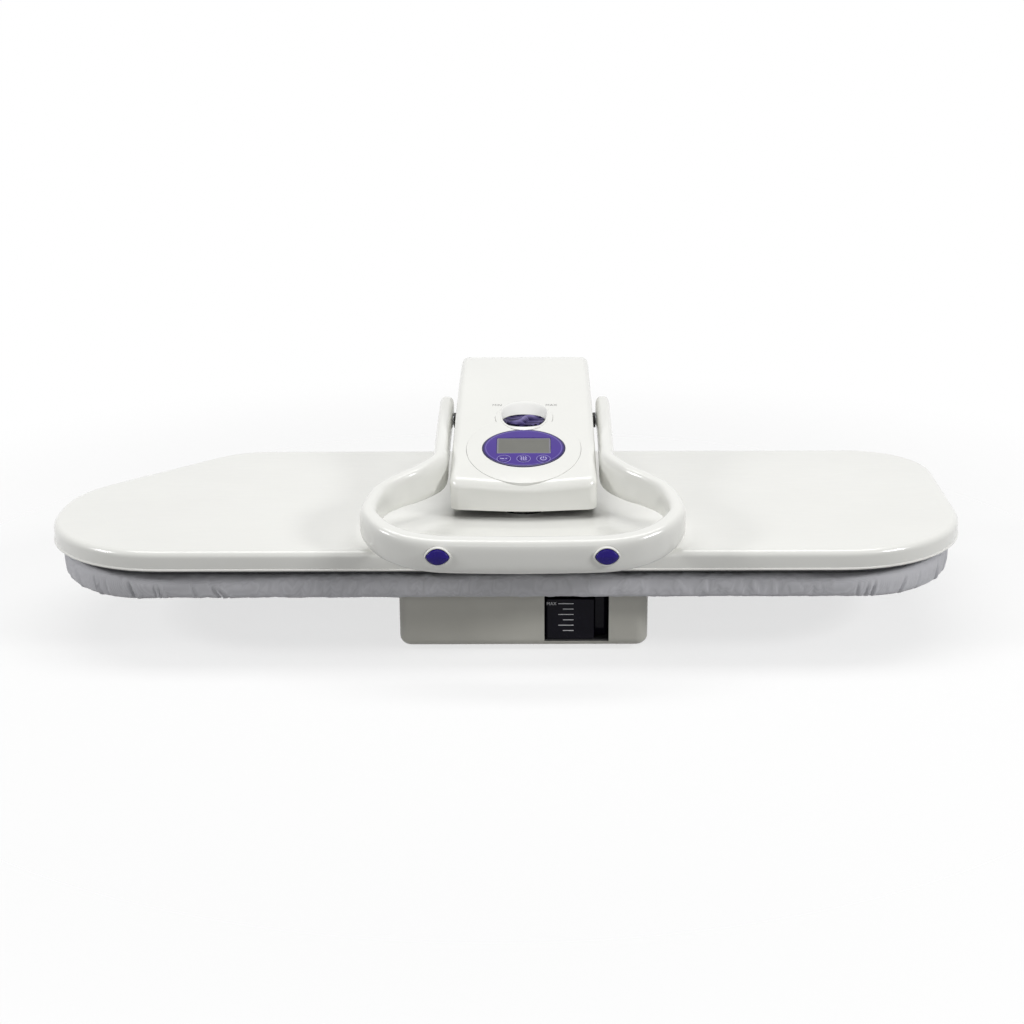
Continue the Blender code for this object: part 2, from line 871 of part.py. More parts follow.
def standoff_places():
    inner = 2 * standoff_radius
    return [(console_x + power_board_x + a * (board_length / 2 - inner),
             power_board_y + b * (board_width / 2 - inner)) for a in (-1, 1) for b in (-1, 1)]


def build_foot(name, x, y, rubber):
    height = base_bottom - fit_gap
    profile = [(0, 0), (foot_tip_radius, 0), (foot_radius, height / 2), (foot_radius, height),
               (0, height)]
    return turned(name, profile, (x, y, 0), segments=16, material=rubber)


def build_tank_bay(black):
    left = console_x + bay_left
    right = left + bay_width
    front = base_front + base_wall + fit_gap
    rear = front + bay_depth
    bay = block("tank_bay", (left - bay_wall, front, bay_floor), (right + bay_wall, rear,
                bay_roof + bay_wall), black)
    cut(bay, block("cut_bay_inside", (left, front - overrun, bay_floor + bay_wall),
                   (right, rear - bay_wall, bay_roof)))
    spout = Vector((tank_middle(), rear - bay_wall - overrun, spout_height))
    cut(bay, rod("cut_spout_hole", spout, spout_radius + slide_gap, bay_wall + 2 * overrun,
                 "Y", 12))
    return bay


def tank_middle():
    return console_x + bay_left + bay_width / 2


def tank_corners(wall=0.0):
    half = bay_width / 2 - slide_gap - wall
    low = base_front + tank_setback + wall
    high = base_front + tank_setback + tank_length - wall
    middle = tank_middle()
    radius = tank_corner_radius - wall
    notch_x = middle + half - grip_width
    notch_y = low + grip_depth
    return [(middle - half, low, radius), (notch_x, low, least_radius * 4),
            (notch_x, notch_y, least_radius * 4), (middle + half, notch_y, radius),
            (middle + half, high, radius), (middle - half, high, radius)]


def build_water_tank(smoke):
    low = bay_floor + bay_wall + slide_gap
    high = low + tank_height
    tank = loft("water_tank", rings_at(tank_corners(), [(0, low), (0, high)], 3), smoke)
    cut(tank, loft("cut_tank_inside", rings_at(tank_corners(tank_wall), [(0, high - tank_wall),
                                               (0, low + tank_wall)], 3)))
    cut(tank, rod("cut_filler", (tank_middle(), filler_y, high - tank_wall - overrun),
                  filler_radius, tank_wall + 2 * overrun))
    rear = base_front + tank_setback + tank_length
    cut(tank, rod("cut_spout_seat", (tank_middle(), rear - tank_wall - overrun, spout_height),
                  spout_radius, tank_wall + 2 * overrun, "Y", 12))
    return tank


def build_tank_cap(rubber):
    top = bay_floor + bay_wall + slide_gap + tank_height
    plug = filler_radius - fit_gap
    profile = [(0, -cap_plug_depth), (plug, -cap_plug_depth), (plug, fit_gap),
               (cap_flange_radius, fit_gap), (cap_flange_radius, cap_flange_height),
               (0, cap_flange_height)]
    return turned("tank_cap", profile, (tank_middle(), filler_y, top), material=rubber)


def build_tank_valve(brass):
    rear = base_front + tank_setback + tank_length
    seat = spout_radius - fit_gap
    depth = tank_wall + small_inset
    bay_rear = base_front + base_wall + fit_gap + bay_depth
    reach = bay_rear - rear + spout_length
    collar = spout_radius + small_inset
    profile = [(spout_bore, -depth), (seat, -depth), (seat, fit_gap), (collar, fit_gap),
               (collar, 2 * small_inset), (seat, 2 * small_inset), (seat, reach),
               (spout_bore, reach)]
    return turned("tank_valve", profile, (tank_middle(), rear, spout_height), "Y", 12, brass)


def build_tank_socket(black):
    start = base_front + base_wall + 2 * fit_gap + bay_depth
    mouth = spout_radius + slide_gap
    deep = spout_length + slide_gap
    profile = [(mouth, 0), (socket_radius, 0), (socket_radius, socket_length),
               (hose_radius + small_inset, socket_length), (hose_radius + small_inset,
               socket_length + small_inset * 2), (spout_bore / 2, socket_length + small_inset * 2),
               (spout_bore / 2, deep), (mouth, deep)]
    return turned("tank_socket", profile, (tank_middle(), start, spout_height), "Y", 12, black)


def build_pump(steel):
    half = pump_barrel_length / 2
    centre = Vector((console_x + pump_x, pump_y, pump_height))
    nozzle = half + pump_nozzle_length
    profile = [(0, -nozzle), (pump_nozzle_radius, -nozzle), (pump_nozzle_radius, -half),
               (pump_barrel_radius, -half), (pump_barrel_radius, half),
               (pump_nozzle_radius, half), (pump_nozzle_radius, nozzle), (0, nozzle)]
    pump = turned("pump", profile, centre, "Y", 14, steel)
    corner = Vector((pump_yoke_width, pump_yoke_length, pump_yoke_width)) / 2
    join(pump, block("join_pump_yoke", centre - corner, centre + corner))
    return pump


def build_pump_cradle(rubber):
    # Two saddles on one strip
    x = console_x + pump_x
    half_x = pump_mount_width / 2
    low = pan_top + fit_gap
    high = pump_height + pump_barrel_radius + pump_mount_thickness / 2
    reach = pump_barrel_length / 2 - pump_mount_thickness / 2
    strip_top = pump_height - pump_yoke_width / 2 - fit_gap
    cradle = block("pump_cradle", (x - half_x / 2, pump_y - reach, low),
                   (x + half_x / 2, pump_y + reach, strip_top), rubber)
    for side in (-1, 1):
        centre = pump_y + side * (pump_barrel_length / 2 - pump_mount_thickness)
        half = pump_mount_thickness / 2
        join(cradle, block(f"join_saddle_{side}", (x - half_x, centre - half, low),
                           (x + half_x, centre + half, high)))
        cut(cradle, rod(f"cut_saddle_{side}", (x, centre - half - small_inset, pump_height),
                        pump_barrel_radius + fit_gap, 2 * (half + small_inset), "Y", 14))
    return cradle


def build_suction_hose(silicone):
    # From the tank socket round to the pump's rear nozzle
    socket_end = base_front + base_wall + 2 * fit_gap + bay_depth + socket_length + 2 * small_inset
    start = Vector((tank_middle(), socket_end + fit_gap, spout_height))
    nozzle = pump_y + pump_barrel_length / 2 + pump_nozzle_length + fit_gap
    end = Vector((console_x + pump_x, nozzle, pump_height))
    points = [start] + [start + Vector(step) * suction_bend for step in suction_start_shares]
    points += [Vector(((start.x + end.x) / 2, start.y + suction_bend, (start.z + end.z) / 2))]
    points += [end + Vector(step) * suction_bend for step in suction_end_shares] + [end]
    return tube("suction_hose", hose_path(points), hose_radius, silicone)


def build_power_board(green):
    low = pan_top + standoff_height + fit_gap
    x = console_x + power_board_x
    half = Vector((board_length / 2, board_width / 2, 0))
    centre = Vector((x, power_board_y, low))
    board = block("power_board", centre - half, centre + half + Vector((0, 0, board_sheet)), green)
    relay = Vector((board_length / 4, board_width / 5, board_sheet - small_inset))
    size = Vector((relay_length, relay_width, relay_height))
    for i, side in enumerate((-1, 1)):
        corner = centre + Vector((relay.x - size.x / 2, side * relay.y - size.y / 2, relay.z))
        join(board, block(f"join_relay_{i}", corner, corner + size))
    rear = board_plug_rear()
    wide = 2 * hose_radius
    join(board, block("join_board_plug", (rear.x - wide, rear.y - wide, low + board_sheet
                      - small_inset), (rear.x + wide, rear.y, rear.z + wide)))
    return board


def build_transformer(copper):
    low = pan_top + standoff_height + 2 * fit_gap + board_sheet
    centre = Vector((console_x + power_board_x - board_length / 5, power_board_y, low))
    half = Vector((transformer_length / 2, transformer_width / 2, 0))
    core = block("mains_transformer", centre - half, centre + half + Vector((0, 0,
                 transformer_height)), copper)
    bobbin = Vector((transformer_length / 3, transformer_width / 2 + relay_height / 3, 0))
    rise = Vector((0, 0, transformer_height / 5))
    join(core, block("join_bobbin", centre - bobbin + rise, centre + bobbin + 4 * rise))
    return core


def build_power_inlet(black):
    x = console_x + inlet_x
    half = inlet_width / 2
    tall = inlet_tall / 2
    body_half = half - inlet_wall
    body_tall = tall - inlet_wall
    rear = base_rear + fit_gap
    inlet = block("power_inlet", (x - half, rear, inlet_height - tall),
                  (x + half, rear + inlet_flange, inlet_height + tall), black)
    join(inlet, block("join_inlet_body", (x - body_half, rear - inlet_depth,
                      inlet_height - body_tall), (x + body_half, rear + small_inset,
                      inlet_height + body_tall)))
    cut(inlet, block("cut_inlet_cavity", (x - body_half + inlet_wall, rear - inlet_depth
                     + inlet_wall, inlet_height - body_tall + inlet_wall),
                     (x + body_half - inlet_wall, rear + inlet_flange + overrun,
                      inlet_height + body_tall - inlet_wall)))
    floor = rear - inlet_depth + inlet_wall - small_inset
    for i, shift in enumerate((-1, 0, 1)):
        lift = inlet_pin_thickness if shift == 0 else -inlet_pin_thickness
        side = Vector((inlet_pin_thickness / 2, 0, inlet_pin_width / 2))
        root = Vector((x + shift * inlet_pin_pitch, floor, inlet_height + lift))
        join(inlet, block(f"join_inlet_pin_{i}", root - side,
                          root + side + Vector((0, inlet_pin_length, 0))))
    return inlet


# Hinge

def arc_yz(y, z, radius, start, end, steps):
    angles = [math.radians(start + (end - start) * k / steps) for k in range(steps + 1)]
    return [(y + radius * math.cos(a), z + radius * math.sin(a)) for a in angles]


def build_rear_stand(steel):
    outer = cheek_inner + cheek_thickness
    low = pan_top + fit_gap
    front = hinge_y - cheek_radius
    rear = hinge_y + cheek_radius
    outline = [(front, low), (rear - base_bottom_radius, low), (rear, low + base_bottom_radius)]
    outline += arc_yz(hinge_y, hinge_z, cheek_radius, 0, 180, 10)
    stand = prism("rear_stand", outline, console_x - outer, console_x + outer, steel, "YZ")
    inside = low + stand_foot_thickness
    cut(stand, block("cut_stand_inside", (console_x - cheek_inner, front - overrun, inside),
                     (console_x + cheek_inner, rear - stand_web_thickness, stand_web_top)))
    cut(stand, block("cut_stand_top", (console_x - cheek_inner, front - overrun,
                     stand_web_top - overrun), (console_x + cheek_inner, rear + overrun,
                     hinge_z + cheek_radius + overrun)))
    cut(stand, rod("cut_stand_bore", (console_x - outer - overrun, hinge_y, hinge_z),
                   hinge_pin_radius + fit_gap, 2 * outer + 2 * overrun, "X"))
    return stand


def build_stand_cover(grey):
    low = base_top + fit_gap
    corners = rectangle(console_x - stand_cover_half, console_x + stand_cover_half,
                        hinge_y - cheek_radius - 2 * small_inset - stand_cover_wall,
                        base_rear, stand_cover_corner)
    work = [[Vector((p.x, p.y, z)) for p in rounded_outline(corners, inset, 3)]
            for inset, z in [(0, low), (0, stand_cover_top), (stand_cover_wall, stand_cover_top),
                             (stand_cover_wall, low)]]
    collar = bmesh.new()
    loops = [[collar.verts.new(p) for p in ring] for ring in work]
    for low_loop, high_loop in zip(loops, loops[1:] + loops[:1]):
        for i in range(len(low_loop)):
            j = (i + 1) % len(low_loop)
            collar.faces.new((low_loop[i], low_loop[j], high_loop[j], high_loop[i]))
    return finish_mesh("stand_cover", collar, grey)


def build_hinge_pin(name, side, steel):
    # Pushed in from outside until its collar meets the arm's ear
    near = cheek_inner + cheek_thickness + slide_gap + ear_thickness + collar_gap
    far = near + collar_thickness
    profile = [(hinge_pin_bore, hinge_pin_inner), (hinge_pin_radius, hinge_pin_inner),
               (hinge_pin_radius, near), (collar_radius, near), (collar_radius, far),
               (hinge_pin_radius, far), (hinge_pin_radius, hinge_pin_outer),
               (hinge_pin_bore, hinge_pin_outer)]
    profile = [(radius, side * along) for radius, along in profile]
    return turned(name, profile, (console_x, hinge_y, hinge_z), "X", 14, steel)


def build_lift_spring(name, side, steel):
    # A torsion spring round the pin: one leg on the stand's web, one under the arm
    count = round(spring_turns * spring_turn_points)
    reach = spring_pitch * spring_turns
    start_x = console_x + side * (cheek_inner - spring_wire - small_inset)
    begin = math.radians(-90)
    points = []
    for k in range(count + 1):
        share = k / count
        angle = begin + 2 * math.pi * spring_turns * share
        points.append(Vector((start_x - side * reach * share,
                              hinge_y + spring_radius * math.cos(angle),
                              hinge_z + spring_radius * math.sin(angle))))
    web = hinge_y + cheek_radius - stand_web_thickness - fit_gap - spring_wire
    foot = Vector((start_x, web, stand_web_top - 4 * spring_wire))
    last = begin + 2 * math.pi * spring_turns
    tip = points[-1] + Vector((0, -math.sin(last), math.cos(last))) * spring_radius
    return tube(name, [foot] + points + [tip], spring_wire, steel)


# Press arm

def build_arm_frame(steel):
    inner = cheek_inner + cheek_thickness + slide_gap
    outer = inner + ear_thickness
    outline = [(arm_front, arm_bottom), (hinge_y - ear_radius, arm_bottom)]
    outline += arc_yz(hinge_y, hinge_z, ear_radius, 180, 370, 10)
    outline += [(arm_rear_y, arm_rear_top)]
    outline += arc_yz(pivot_y, pivot_z, arm_pivot_radius, 60, 120, 4)
    outline += [(arm_middle_y, arm_middle_top), (arm_front, arm_front_top)]
    frame = prism("arm_frame", outline, console_x - outer, console_x + outer, steel, "YZ")
    floor = arm_bottom + arm_web
    far = hinge_y + ear_radius + overrun
    high = pivot_z + 2 * arm_pivot_radius
    low = hinge_z - ear_radius - overrun
    inside = [(arm_front - overrun, floor), (arm_floor_rear, floor), (arm_floor_rear, low),
              (far, low), (far, high),
              (arm_front - overrun, high)]
    cut(frame, prism("cut_arm_inside", inside, console_x - inner, console_x + inner, None, "YZ"))
    start = console_x - outer - overrun
    length = 2 * outer + 2 * overrun
    cut(frame, rod("cut_arm_hinge", (start, hinge_y, hinge_z), hinge_pin_radius + fit_gap,
                   length, "X"))
    cut(frame, rod("cut_arm_pivot", (start, pivot_y, pivot_z), handle_shaft_radius + fit_gap,
                   length, "X"))
    return frame


def build_neck_cover(white):
    top = console_bottom - neck_lap
    outer = [(hinge_y - neck_radius, top)]
    outer += arc_yz(hinge_y, hinge_z, neck_radius, 180, 360, 14) + [(console_rear, top)]
    neck = prism("neck_cover", outer, console_x - neck_half, console_x + neck_half, white, "YZ")
    round_edges(neck, small_inset * 2, 2, 80)
    radius = neck_radius - neck_wall
    inner = [(hinge_y - radius, top + overrun)]
    inner += arc_yz(hinge_y, hinge_z, radius, 180, 360, 14)
    inner += [(console_rear - neck_wall, top - small_inset), (console_rear - neck_wall,
              top + overrun)]
    half = neck_half - neck_wall
    cut(neck, prism("cut_neck_inside", inner, console_x - half, console_x + half, None, "YZ"))
    cut(neck, block("cut_neck_slot", (console_x - neck_slot_half, hinge_y - cheek_radius
                    - 2 * small_inset, hinge_z - neck_radius - overrun),
                    (console_x + neck_slot_half, hinge_y + neck_radius + overrun,
                     hinge_z + neck_slot_rise)))
    near, far = link_offset - small_inset, link_offset + link_thickness + small_inset
    front = hinge_y - neck_radius
    cut(neck, block("cut_neck_link", (console_x - far, front - overrun, hinge_z),
                    (console_x - near, front + neck_wall + overrun, top + overrun)))
    return neck


def build_console_base(grey):
    # The underside of the console, open behind for the arm and the link
    inset = console_wall + fit_gap
    low = console_bottom
    base = loft("console_base", [console_ring(inset, height=low),
                                 console_ring(inset, height=low + console_base_thickness)],
                grey, strips=True)
    rear = block("cut_console_base_rear",
                 (console_x - console_half_front, console_base_rear, low - overrun),
                 (console_x + console_half_front, console_rear + overrun,
                  low + console_base_thickness + overrun))
    cut(base, rear)
    cut(base, rod("cut_console_hanger", (console_x, hanger_y, low - overrun),
                  hanger_neck_radius + fit_gap, console_base_thickness + 2 * overrun,
                  segments=24))
    cut(base, rod("cut_console_nipple", (console_x + nipple_offset, chamber_y, low - overrun),
                  nipple_opening_radius, console_base_thickness + 2 * overrun))
    for i, y in enumerate((hanger_y + 2 * hanger_neck_radius,
                           console_base_rear - 4 * console_post_radius)):
        for side in (-1, 1):
            x = console_x + side * (cheek_inner - 2 * console_post_radius)
            start = low + console_base_thickness - small_inset
            join(base, rod(f"join_console_post_{i}_{side}", (x, y, start), console_post_radius,
                           arm_bottom - fit_gap - start, segments=10))
    return base


def build_console_housing(white):
    edge = console_edge_radius
    inner_edge = edge - console_wall
    lower = [console_ring(console_wall, height=console_bottom)]
    steps = [math.pi / 2 * k / 3 for k in range(4)]
    outer = [console_ring(0, height=console_bottom)]
    outer += [console_ring(edge * (1 - math.cos(a)), drop=edge * (1 - math.sin(a)))
              for a in steps]
    inner = [console_ring(console_wall + inner_edge * (1 - math.cos(a)),
                          drop=inner_edge * (1 - math.sin(a)), wall=console_wall)
             for a in steps]
    housing = loft("console_housing", inner[::-1] + lower + outer, white, strips=True)
    cut(housing, keyhole("cut_insert_opening", fit_gap, None))
    for side, word in ((-1, "left"), (1, "right")):
        reach = console_half_front + overrun
        start = console_x if side > 0 else console_x - reach
        cut(housing, rod(f"cut_bush_hole_{word}", (start, pivot_y, pivot_z),
                         bush_radius + fit_gap, reach, "X"))
    return housing


def keyhole(name, grow, material):
    # The insert's outline: a large circle round the display and a small one round the knob
    slope = display_slope()
    squeeze = math.cos(slope)
    big = insert_radius + grow
    small = insert_knob_radius + grow
    apart = (knob_y - display_y) / squeeze
    reach = (apart ** 2 + big ** 2 - small ** 2) / (2 * apart)
    open_angle = math.acos(reach / big)
    turn = math.atan2(big * math.sin(open_angle), reach - apart)
    outline = []
    for k in range(31):
        angle = math.pi / 2 + open_angle + (2 * math.pi - 2 * open_angle) * k / 30
        outline.append((big * math.cos(angle), big * math.sin(angle)))
    for k in range(1, 12):
        angle = math.pi / 2 - turn + 2 * turn * k / 12
        outline.append((small * math.cos(angle), apart + small * math.sin(angle)))
    flat = [(console_x + x, display_y + y * squeeze) for x, y in outline]
    low = plate_top + console_front_height - console_front_height / 2
    high = plate_top + console_front_height + console_rise + console_bow
    return prism(name, flat, low, high, material)


def display_slope():
    step = insert_radius / 2
    rise = console_top(display_y + step) - console_top(display_y - step)
    return math.atan2(rise, 2 * step)


def display_frame():
    place = Matrix.Translation((console_x, display_y, console_top(display_y) + insert_raise))
    return place @ Matrix.Rotation(display_slope(), 4, "X")


def on_display(piece):
    piece.data.transform(display_frame())
    return piece


# Controls

def cup_floor():
    return console_top(knob_y) - knob_depth


def build_control_insert(white):
    insert = keyhole("control_insert", 0, white)
    front = display_y - insert_radius - overrun
    rear = knob_y + insert_knob_radius + overrun
    stations = [front + (rear - front) * k / 12 for k in range(13)]
    band = [(y, console_top(y) - insert_depth) for y in stations]
    band += [(y, console_top(y) + insert_raise) for y in reversed(stations)]
    slab = prism("slab_insert", band, console_x - insert_radius - overrun,
                 console_x + insert_radius + overrun, None, "YZ")
    combine(insert, slab, "INTERSECT")
    floor = cup_floor()
    high = console_top(knob_y + cup_radius) + 2 * overrun
    cup = rod("join_cup", (console_x, knob_y, floor - cup_wall), cup_radius + cup_wall,
              high - floor + cup_wall, segments=28)
    # The cup's own wall stops just under the insert's face
    under = [(front, floor - 2 * overrun), (rear, floor - 2 * overrun)]
    under += [(y, console_top(y)) for y in reversed(stations)]
    trim = prism("trim_cup", under, console_x - insert_radius, console_x + insert_radius, None,
                 "YZ")
    combine(cup, trim, "INTERSECT")
    join(insert, cup)
    cut(insert, rod("cut_cup", (console_x, knob_y, floor), cup_radius, high - floor,
                    segments=28))
    cut(insert, rod("cut_stem_hole", (console_x, knob_y, floor - cup_wall - overrun),
                    knob_stem_radius + fit_gap, cup_wall + 2 * overrun, segments=10))
    seat = ellipse(lens_length + 2 * fit_gap, lens_width + 2 * fit_gap)
    cut(insert, on_display(prism("cut_lens_seat", seat, -lens_thickness - fit_gap, overrun)))
    ledge = ellipse(lens_length - 2 * lens_ledge, lens_width - 2 * lens_ledge)
    cut(insert, on_display(prism("cut_lens_ledge", ledge, -4 * overrun, overrun)))
    return insert


def panel_button_places():
    return {"left": -panel_button_pitch, "centre": 0.0, "right": panel_button_pitch}


def build_display_lens(violet):
    lens = on_display(prism("display_lens", ellipse(lens_length, lens_width), -lens_thickness,
                            0.0, violet))
    for word, x in panel_button_places().items():
        hole = rod(f"cut_lens_{word}", (x, panel_button_row, -lens_thickness - overrun),
                   panel_button_radius + fit_gap, lens_thickness + 2 * overrun, segments=12)
        cut(lens, on_display(hole))
    return lens


def lcd_floor():
    return -lens_thickness - fit_gap - lcd_thickness


def build_lcd_panel(glass):
    half_x, half_y = lcd_length / 2, lcd_width / 2
    low = lcd_floor()
    return on_display(block("lcd_panel", (-half_x, lcd_shift - half_y, low),
                            (half_x, lcd_shift + half_y, low + lcd_thickness), glass))


def build_control_board(green):
    half_x, half_y = control_board_length / 2, control_board_width / 2
    high = lcd_floor() - fit_gap
    return on_display(block("control_board", (-half_x, -half_y, high - board_sheet),
                            (half_x, half_y, high), green))


def build_panel_button(word, x, violet):
    low = lcd_floor() + panel_button_travel
    under = -lens_thickness - fit_gap
    profile = [(0, low), (panel_button_radius / 2, low), (panel_button_radius / 2,
               under - panel_button_flange_height), (panel_button_flange,
               under - panel_button_flange_height), (panel_button_flange, under),
               (panel_button_radius, under), (panel_button_radius, panel_button_proud / 2),
               (panel_button_radius - small_inset, panel_button_proud), (0, panel_button_proud)]
    return on_display(turned(f"panel_button_{word}", profile, (x, panel_button_row, 0),
                             segments=12, material=violet))


def build_temperature_knob(violet):
    floor = cup_floor() + fit_gap
    stem = cup_wall + 4 * fit_gap
    rim = knob_radius - knob_rim
    dish = knob_height - knob_rim
    profile = [(0, -stem), (knob_stem_radius, -stem), (knob_stem_radius, 0), (knob_radius, 0),
               (knob_radius, knob_height - knob_rim / 2), (knob_radius - knob_rim / 2, knob_height),
               (rim, knob_height), (rim - knob_rim / 2, dish), (rim / 2, knob_height), (0,
               knob_height + knob_rim / 2)]
    knob = turned("temperature_knob", profile, (console_x, knob_y, floor), segments=28,
                  material=violet)
    # The grip is a bar that bends like an S over the knob's face
    upper, lower = [], []
    for k in range(13):
        share = k / 12 - 1 / 2
        sway = knob_wing_width / 2 * math.sin(2 * math.pi * share)
        half = knob_wing_width / 2 * math.cos(math.pi * share * knob_wing_end_share)
        upper.append((share * knob_wing_length, sway + half))
        lower.append((share * knob_wing_length, sway - half))
    wing = prism("join_knob_wing", lower + upper[::-1], dish, knob_height + knob_wing_height)
    wing.data.transform(Matrix.Translation((console_x, knob_y, floor))
                        @ Matrix.Rotation(math.radians(knob_wing_angle), 4, "Z"))
    join(knob, wing)
    return knob


def build_knob_potentiometer(black):
    high = cup_floor() - cup_wall - fit_gap
    low = high - potentiometer_height
    half = potentiometer_size / 2
    body = block("knob_potentiometer", (console_x - half, knob_y - half, low),
                 (console_x + half, knob_y + half, high), black)
    cut(body, rod("cut_potentiometer", (console_x, knob_y, high - 4 * small_inset),
                  knob_stem_radius + fit_gap, 4 * small_inset + overrun, segments=10))
    return body


# Handle

def handle_spine():
    reach = handle_bar_y - pivot_y
    fall = handle_bar_z - pivot_z
    spread = handle_half_width - handle_arm_offset
    left = [Vector((-(handle_arm_offset + spread * side), pivot_y + reach * out,
                    pivot_z + fall * down)) for side, out, down in handle_path_shares]
    left.append(Vector((0, handle_bar_y, handle_bar_z)))
    spine = smooth_route(left, 2)
    mirrored = [Vector((-p.x, p.y, p.z)) for p in reversed(spine[:-1])]
    return spine + mirrored


def build_handle(white):
    # Rounded sections swept along the spine: tall and thin at the arms, thicker at the bar
    spine = handle_spine()
    count = len(spine)
    rings = []
    for i, place in enumerate(spine):
        ahead = spine[min(i + 1, count - 1)] - spine[max(i - 1, 0)]
        along = ahead.normalized()
        level = Vector((0, 0, 1))
        side = along.cross(level).normalized()
        upright = side.cross(along).normalized()
        share = min(1.0, max(0.0, (pivot_y - place.y) / (pivot_y - handle_bar_y)))
        blend = max(0.0, (share - handle_swell_share) / (1 - handle_swell_share))
        blend **= handle_swell_power
        height = handle_arm_height + (handle_bar_height - handle_arm_height) * blend
        off = (share - handle_blade_share) / handle_blade_spread_share
        height += handle_blade_extra * math.exp(-off * off)
        width = handle_arm_thickness + (handle_bar_thickness - handle_arm_thickness) * blend
        ring = []
        for k in range(12):
            angle = 2 * math.pi * (k + 0.5) / 12
            a, b = math.cos(angle), math.sin(angle)
            x = math.copysign(abs(a) ** handle_section_power, a) * width / 2
            y = math.copysign(abs(b) ** handle_section_power, b) * height / 2
            ring.append(place + side * x + upright * y)
        rings.append(ring)
    # Each arm ends in a rounded tail behind the pivot
    for end, neighbour in ((0, 1), (-1, -2)):
        outward = (spine[end] - spine[neighbour]).normalized()
        tails = []
        for step in handle_tail_shares:
            squash = math.sqrt(1 - step ** 2)
            middle = spine[end]
            tail = [middle + outward * handle_tail * step
                    + (p - middle) * squash for p in rings[end]]
            tails.append(tail)
        rings = tails[::-1] + rings if end == 0 else rings + tails
    rings = [[p + Vector((console_x, 0, 0)) for p in ring] for ring in rings]
    handle = loft("handle", rings, white)
    start = handle_shaft_reach + fit_gap
    bore = handle_shaft_radius + fit_gap
    cut(handle, rod("cut_handle_bore", (console_x - start, pivot_y, pivot_z), bore, 2 * start,
                    "X"))
    depth = handle_button_body - handle_button_proud + handle_button_travel + slide_gap
    for side, word in ((-1, "left"), (1, "right")):
        pocket = ellipse(handle_button_length + 2 * fit_gap, handle_button_width + 2 * fit_gap, 18)
        x, z = handle_button_centre(side)
        front = handle_button_front()
        shape = prism(f"cut_button_pocket_{word}", [(x + a, z + b) for a, b in pocket],
                      front - overrun, front + depth, None, "XZ")
        cut(handle, shape)
    return handle


def handle_button_front():
    return handle_bar_y - handle_bar_thickness / 2


def handle_button_centre(side):
    return console_x + side * handle_button_offset, handle_bar_z + handle_button_rise


def build_handle_button(word, side, violet):
    x, z = handle_button_centre(side)
    face = handle_button_front() - handle_button_proud
    rear = face + handle_button_body
    rings = []
    crown, shoulder = handle_button_dome_shares
    for shrink, y in ((crown, face), (shoulder, face + small_inset),
                      (1, face + handle_button_proud), (1, rear)):
        rings.append([Vector((x + a * shrink, y, z + b * shrink))
                      for a, b in ellipse(handle_button_length, handle_button_width, 18)])
    return loft(f"handle_button_{word}", rings, violet)


def build_handle_shaft(steel):
    return rod("handle_shaft", (console_x - handle_shaft_reach, pivot_y, pivot_z),
               handle_shaft_radius, 2 * handle_shaft_reach, "X", 16, steel)


def build_handle_bush(word, side, black):
    near = cheek_inner + cheek_thickness + slide_gap + ear_thickness + fit_gap
    if side < 0:
        near = crank_offset + crank_thickness + fit_gap
    far = handle_arm_offset - handle_arm_thickness / 2 - fit_gap
    start = console_x + (near if side > 0 else -far)
    return sleeve(f"handle_bush_{word}", (start, pivot_y, pivot_z), bush_radius,
                  handle_shaft_radius + fit_gap, far - near, "X", 16, black)


def build_handle_crank(steel):
    start = console_x - crank_offset - crank_thickness
    lead = math.degrees(link_angle)
    outline = arc_yz(pivot_y, pivot_z, crank_radius, lead + 80, lead + 280, 10)
    outline += arc_yz(crank_pin_y, crank_pin_z, crank_eye_radius, lead - 80, lead + 80, 8)
    crank = prism("handle_crank", outline, start, start + crank_thickness, steel, "YZ")
    cut(crank, rod("cut_crank_bore", (start - overrun, pivot_y, pivot_z),
                   handle_shaft_radius + fit_gap, crank_thickness + 2 * overrun, "X"))
    # The pin that carries the link stands on the crank's inner face
    reach = crank_offset + small_inset - link_offset + small_inset
    join(crank, rod("join_link_pin", (console_x - crank_offset - small_inset, crank_pin_y,
                    crank_pin_z), link_pin_radius, reach, "X", 12))
    return crank


def build_pressure_link(steel):
    # A bar from the crank pin to a slot that rides on the left hinge pin
    along = Vector((math.cos(link_angle), math.sin(link_angle)))
    across = Vector((-along.y, along.x))
    eye = Vector((crank_pin_y, crank_pin_z))
    head = Vector((hinge_y, hinge_z)) + along * link_slot_centre
    start = math.degrees(link_angle)
    outline = arc_yz(eye.x, eye.y, link_eye_radius, start + 40, start + 320, 10)
    outline += arc_yz(head.x, head.y, link_head_radius, start - 157, start + 157, 14)
    link = prism("pressure_link", outline, console_x - link_offset - link_thickness,
                 console_x - link_offset, steel, "YZ")
    low = console_x - link_offset - link_thickness - overrun
    high = console_x - link_offset + overrun
    cut(link, rod("cut_link_eye", (low, eye.x, eye.y), link_pin_radius + fit_gap, high - low,
                  "X", 12))
    bore = hinge_pin_radius + slide_gap
    first = head - along * link_slot_half
    last = head + along * link_slot_half
    slot = arc_yz(first.x, first.y, bore, start + 90, start + 270, 8)
    slot += arc_yz(last.x, last.y, bore, start - 90, start + 90, 8)
    cut(link, prism("cut_link_slot", slot, low, high, None, "YZ"))
    return link


# Hose and loom: each has a stretch in the base and one in the arm, end to end on the hinge axis

def stand_riser(side):
    # Up between the stand's cheeks and out through the hollow pin
    start = Vector((console_x + side * riser_offset, hinge_y, hinge_z))
    exit_x = console_x + side * (hinge_pin_outer + small_inset)
    route = [start + Vector((side * out, back, up)) * hose_bend for out, back, up in riser_shares]
    return route + [Vector((exit_x, hinge_y, hinge_z))]


